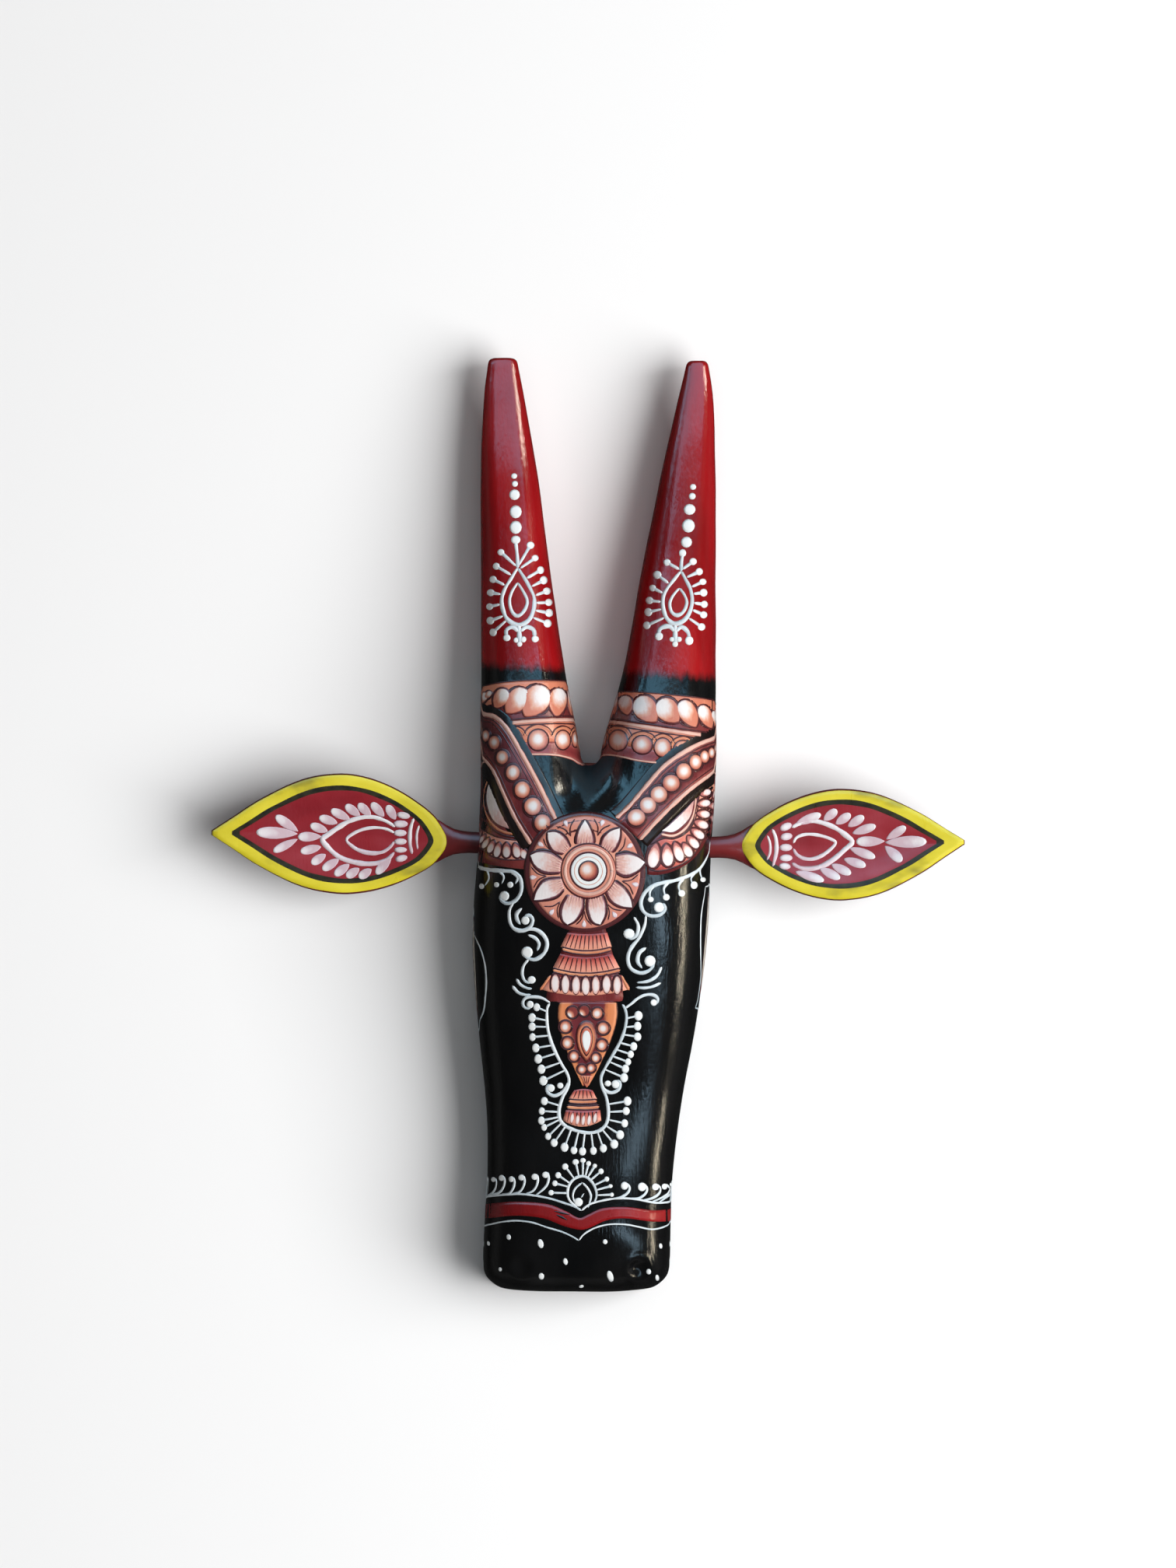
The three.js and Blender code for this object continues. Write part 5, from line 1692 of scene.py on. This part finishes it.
# %% White motifs in the ears
EAR_MARKS = {
    "ear_left": dict(
        outer=[(508, 1063), (496.3, 1055.8), (481.3, 1050.8), (466.4, 1050.8), (449, 1055.8),
               (434.1, 1064.5), (421.6, 1073.2), (414.2, 1079.4), (421.6, 1089.4), (434.1, 1100.5),
               (449, 1106.8), (468.9, 1110.5), (486.3, 1109.3), (498.8, 1104.3), (507, 1095.6)],
        inner=[(507, 1070.7), (496.3, 1065.7), (481.3, 1064), (466.4, 1066.4), (454, 1071.9),
               (445.3, 1079.4), (451.5, 1086.9), (461.4, 1093.1), (476.4, 1096.8),
               (491.3, 1095.6), (501.2, 1089.4), (507, 1081.9)],
        spots=[(518.6, 1048.4, 8.6, 4.4, -10), (515, 1059.4, 9.4, 4.8, 0),
               (514.4, 1071, 8.4, 4.4, 0), (514.8, 1082, 8.2, 4.2, 0), (515, 1092.6, 8.2, 3.8, 0),
               (516, 1103.6, 8, 4.4, 14)],
        bars=[[(532, 1052), (527.6, 1066), (527, 1084), (530, 1098)],
              [(539, 1061), (536, 1071), (535.6, 1081), (537, 1092)]],
        dabs=[((400, 1061), (420, 1068.5)), ((411, 1051), (433, 1058)),
              ((426, 1041.6), (449, 1053)), ((445, 1036), (461.6, 1048)),
              ((461, 1034), (476, 1048)), ((478, 1033), (493, 1049)), ((498, 1036), (508, 1053)),
              ((387, 1095), (412, 1089)), ((401, 1110), (418, 1099)),
              ((415, 1118), (435, 1105)), ((431, 1124.6), (448, 1112)),
              ((446, 1127), (461, 1117)), ((462, 1128), (477, 1118)), ((484, 1123), (502, 1103))],
        lily=[((385, 1076), (411, 1075.6), 6), ((331, 1070), (381, 1072), 7.4),
              ((355.6, 1050), (382, 1068), 6), ((353, 1094), (381, 1079.6), 5.2)]),
    "ear_right": dict(
        outer=[(1018, 1064), (1029.3, 1058.3), (1044.2, 1055.4), (1059.1, 1058.3), (1074, 1064.5),
               (1086.5, 1073.2), (1095.9, 1082.4), (1086.5, 1091.8), (1074, 1103),
               (1059.1, 1112.4), (1044.2, 1116.6), (1029.3, 1115.7), (1018, 1109.5)],
        inner=[(1020, 1084), (1024, 1077), (1034, 1073), (1046, 1072.8), (1057.6, 1075),
               (1067.8, 1078.6), (1074.5, 1083.3), (1067.8, 1091.8), (1056.6, 1100),
               (1044.2, 1104.4), (1032.7, 1103.3), (1024, 1098.1), (1020, 1091)],
        spots=[(1010.4, 1063, 8.2, 4.8, 24), (1011, 1075.6, 8, 4.8, 10),
               (1010.4, 1089.6, 8.4, 4.8, 0), (1010.6, 1103, 8.6, 4.6, 0),
               (1009, 1113.6, 7.4, 4.4, -8)],
        bars=[[(993, 1066), (997.6, 1078), (998, 1096), (993.6, 1114)],
              [(986.6, 1074), (990, 1084), (990, 1096), (986, 1106)]],
        dabs=[((1055, 1047), (1024, 1059)), ((1075, 1042), (1060, 1054)),
              ((1093, 1047), (1075, 1059)), ((1110, 1050), (1091, 1062)),
              ((1125, 1062), (1097, 1071)), ((1124, 1102), (1094, 1091)),
              ((1112, 1113), (1086, 1104.6)), ((1093, 1123), (1070, 1112)),
              ((1079, 1129), (1055, 1117)), ((1058, 1132), (1024, 1121))],
        lily=[((1103, 1082), (1135, 1081.6), 6.4), ((1189, 1082), (1140, 1083), 7.4),
              ((1163, 1064), (1141, 1078), 5.4), ((1158, 1106), (1139, 1089), 6.4)]),
}


def dab(net, head, tail, wide, sharp, beyond):
    """A drop from its round head to its tail, a little longer than the way between them."""
    middle = ((head[0] + tail[0]) / 2, (head[1] + tail[1]) / 2)
    length = math.dist(head, tail) / 2 + beyond
    turn = math.degrees(math.atan2(head[1] - tail[1], tail[0] - head[0]))
    blob(net, PINKISH, middle, drop(length, wide, turn, sharp), 0.08, shine=(-0.9, 0))


for name, marks in EAR_MARKS.items():
    surface = ear_surfaces[name]
    net = new_net()
    stroke(net, PINKISH, marks["outer"], (4, 5, 5.6, 6.4, 7, 6, 6.6, 6, 4))
    stroke(net, PINKISH, marks["inner"], (3.4, 4.0, 4.2, 3.8, 5.2, 5, 3.4))
    for across, down, wide, tall, turn in marks["spots"]:
        blob(net, PINKISH, (across, down), oval(wide, tall, turn), 0.1, "dot")
    for bar, width in zip(marks["bars"], (5.4, 3.6)):
        stroke(net, PINKISH, bar, (width * 0.7, width, width * 0.7))
    for head, tail in marks["dabs"]:
        dab(net, head, tail, 5.2, 0.35, beyond=1)
    for head, tail, wide in marks["lily"]:
        dab(net, head, tail, wide, 0.6, beyond=2)
    piece(name + "_motif", net, LOOKS)
surface = skin

# %% [markdown]
# The mask lies on a plain pale floor. One broad soft lamp from the right makes the light and the
# wide soft shadow to the left, as the photograph shows them, and a weaker one overhead fills the
# shadow. Neither is seen in the varnish. Gloss is mostly reflections, and those are made by six
# more lamps that only the varnish sees: a cool window beyond the horns and a smaller one to its
# left, a pale strip over the horns, a thin cool strip along the right of the face, and two narrow
# warm ones low on the right. Each is placed by the mirror direction of the spot where it shows.

# %% Floor, room and lamps
FLOOR_REACH, MIRROR_DISTANCE = 3, 1.5  # in metres
SKY_BLUE, WHITE_LIGHT = (0.30, 0.70, 1.0), (1.0, 1.0, 1.0)


def lamp(name, place, size, power, colour, along=(1, 0, 0)):
    """A lamp that looks at the middle of the mask, with its first side along a direction."""
    data = bpy.data.lights.new(name, "AREA")
    data.shape = "RECTANGLE"
    data.size, data.size_y = size
    data.energy = power
    data.color = colour
    made = show(name, data)
    made.location = place
    back = Vector(place).normalized()
    first = Vector(along)
    first = (first - back * first.dot(back)).normalized()
    made.rotation_euler = Matrix((first, back.cross(first), back)).transposed().to_euler()
    return made


def reflected(name, one_end, other_end, wide, power, colour):
    """A lamp seen only in the varnish, stretched between two mirror directions."""
    one, other = (Vector(end).normalized() * MIRROR_DISTANCE for end in (one_end, other_end))
    made = lamp(name, (one + other) / 2, ((one - other).length, wide), power, colour, one - other)
    made.visible_diffuse = False


floor_net = bmesh.new()
bmesh.ops.create_grid(floor_net, x_segments=1, y_segments=1, size=FLOOR_REACH)
floor_mesh = bpy.data.meshes.new("floor")
floor_net.to_mesh(floor_mesh)
floor = show("floor", floor_mesh)
floor.visible_glossy = False  # a white floor would light up every steep black edge
floor_mesh.materials.append(finish("pale_floor", Base_Color=(0.9, 0.9, 0.9, 1), Roughness=0.9,
                                   Specular_IOR_Level=0.0)[0])

world = bpy.data.worlds.new("room")
scene.world = world
world.use_nodes = True
sky = world.node_tree
height = wire(sky, "SeparateXYZ", {0: wire(sky, "TexCoord").outputs["Generated"]}).outputs["Z"]
height = sums(sky, "ADD", sums(sky, "MULTIPLY", height, 0.5), 0.5)
walls = ramp(sky, height, [(0.25, (0.02,) * 3), (0.42, (0.13,) * 3), (0.49, (0.13,) * 3),
                           (0.55, (0.05,) * 3), (1.0, (0.035, 0.036, 0.038))])
sky.links.new(walls, sky.nodes["Background"].inputs["Color"])
scene.view_settings.view_transform = "Standard"

for name, place, size, power in (("softbox", (1.86, -0.30, 1.94), 2.3, 112),
                                 ("fill", (0.4, 0.2, 2.6), 3.2, 19)):
    lamp(name, place, (size, size), power, WHITE_LIGHT).visible_glossy = False
window = lamp("window", (0, 1.259, 0.987), (2.6, 1.45), 50, SKY_BLUE)
window.visible_diffuse = False
for strip in (
        ("window_left", (-0.62, 0.62, 0.48), (-0.86, 0.49, 0.14), 0.30, 3.0, SKY_BLUE),
        ("pale_strip", (-0.12, 0.35, 0.93), (0.32, 0.36, 0.87), 0.22, 0.3, (1.0, 0.92, 0.95)),
        ("cool_strip", (0.72, -0.30, 0.62), (0.25, -0.12, 0.96), 0.11, 2.4, (0.55, 0.80, 1.0)),
        ("warm_glint", (0.66, 0.53, 0.53), (0.84, 0.48, 0.25), 0.045, 6.0, (1.0, 0.93, 0.78)),
        ("warm_strip", (0.955, -0.12, 0.27), (0.95, -0.29, 0.11), 0.025, 3.6,
         (1.0, 0.88, 0.66))):
    reflected(*strip)
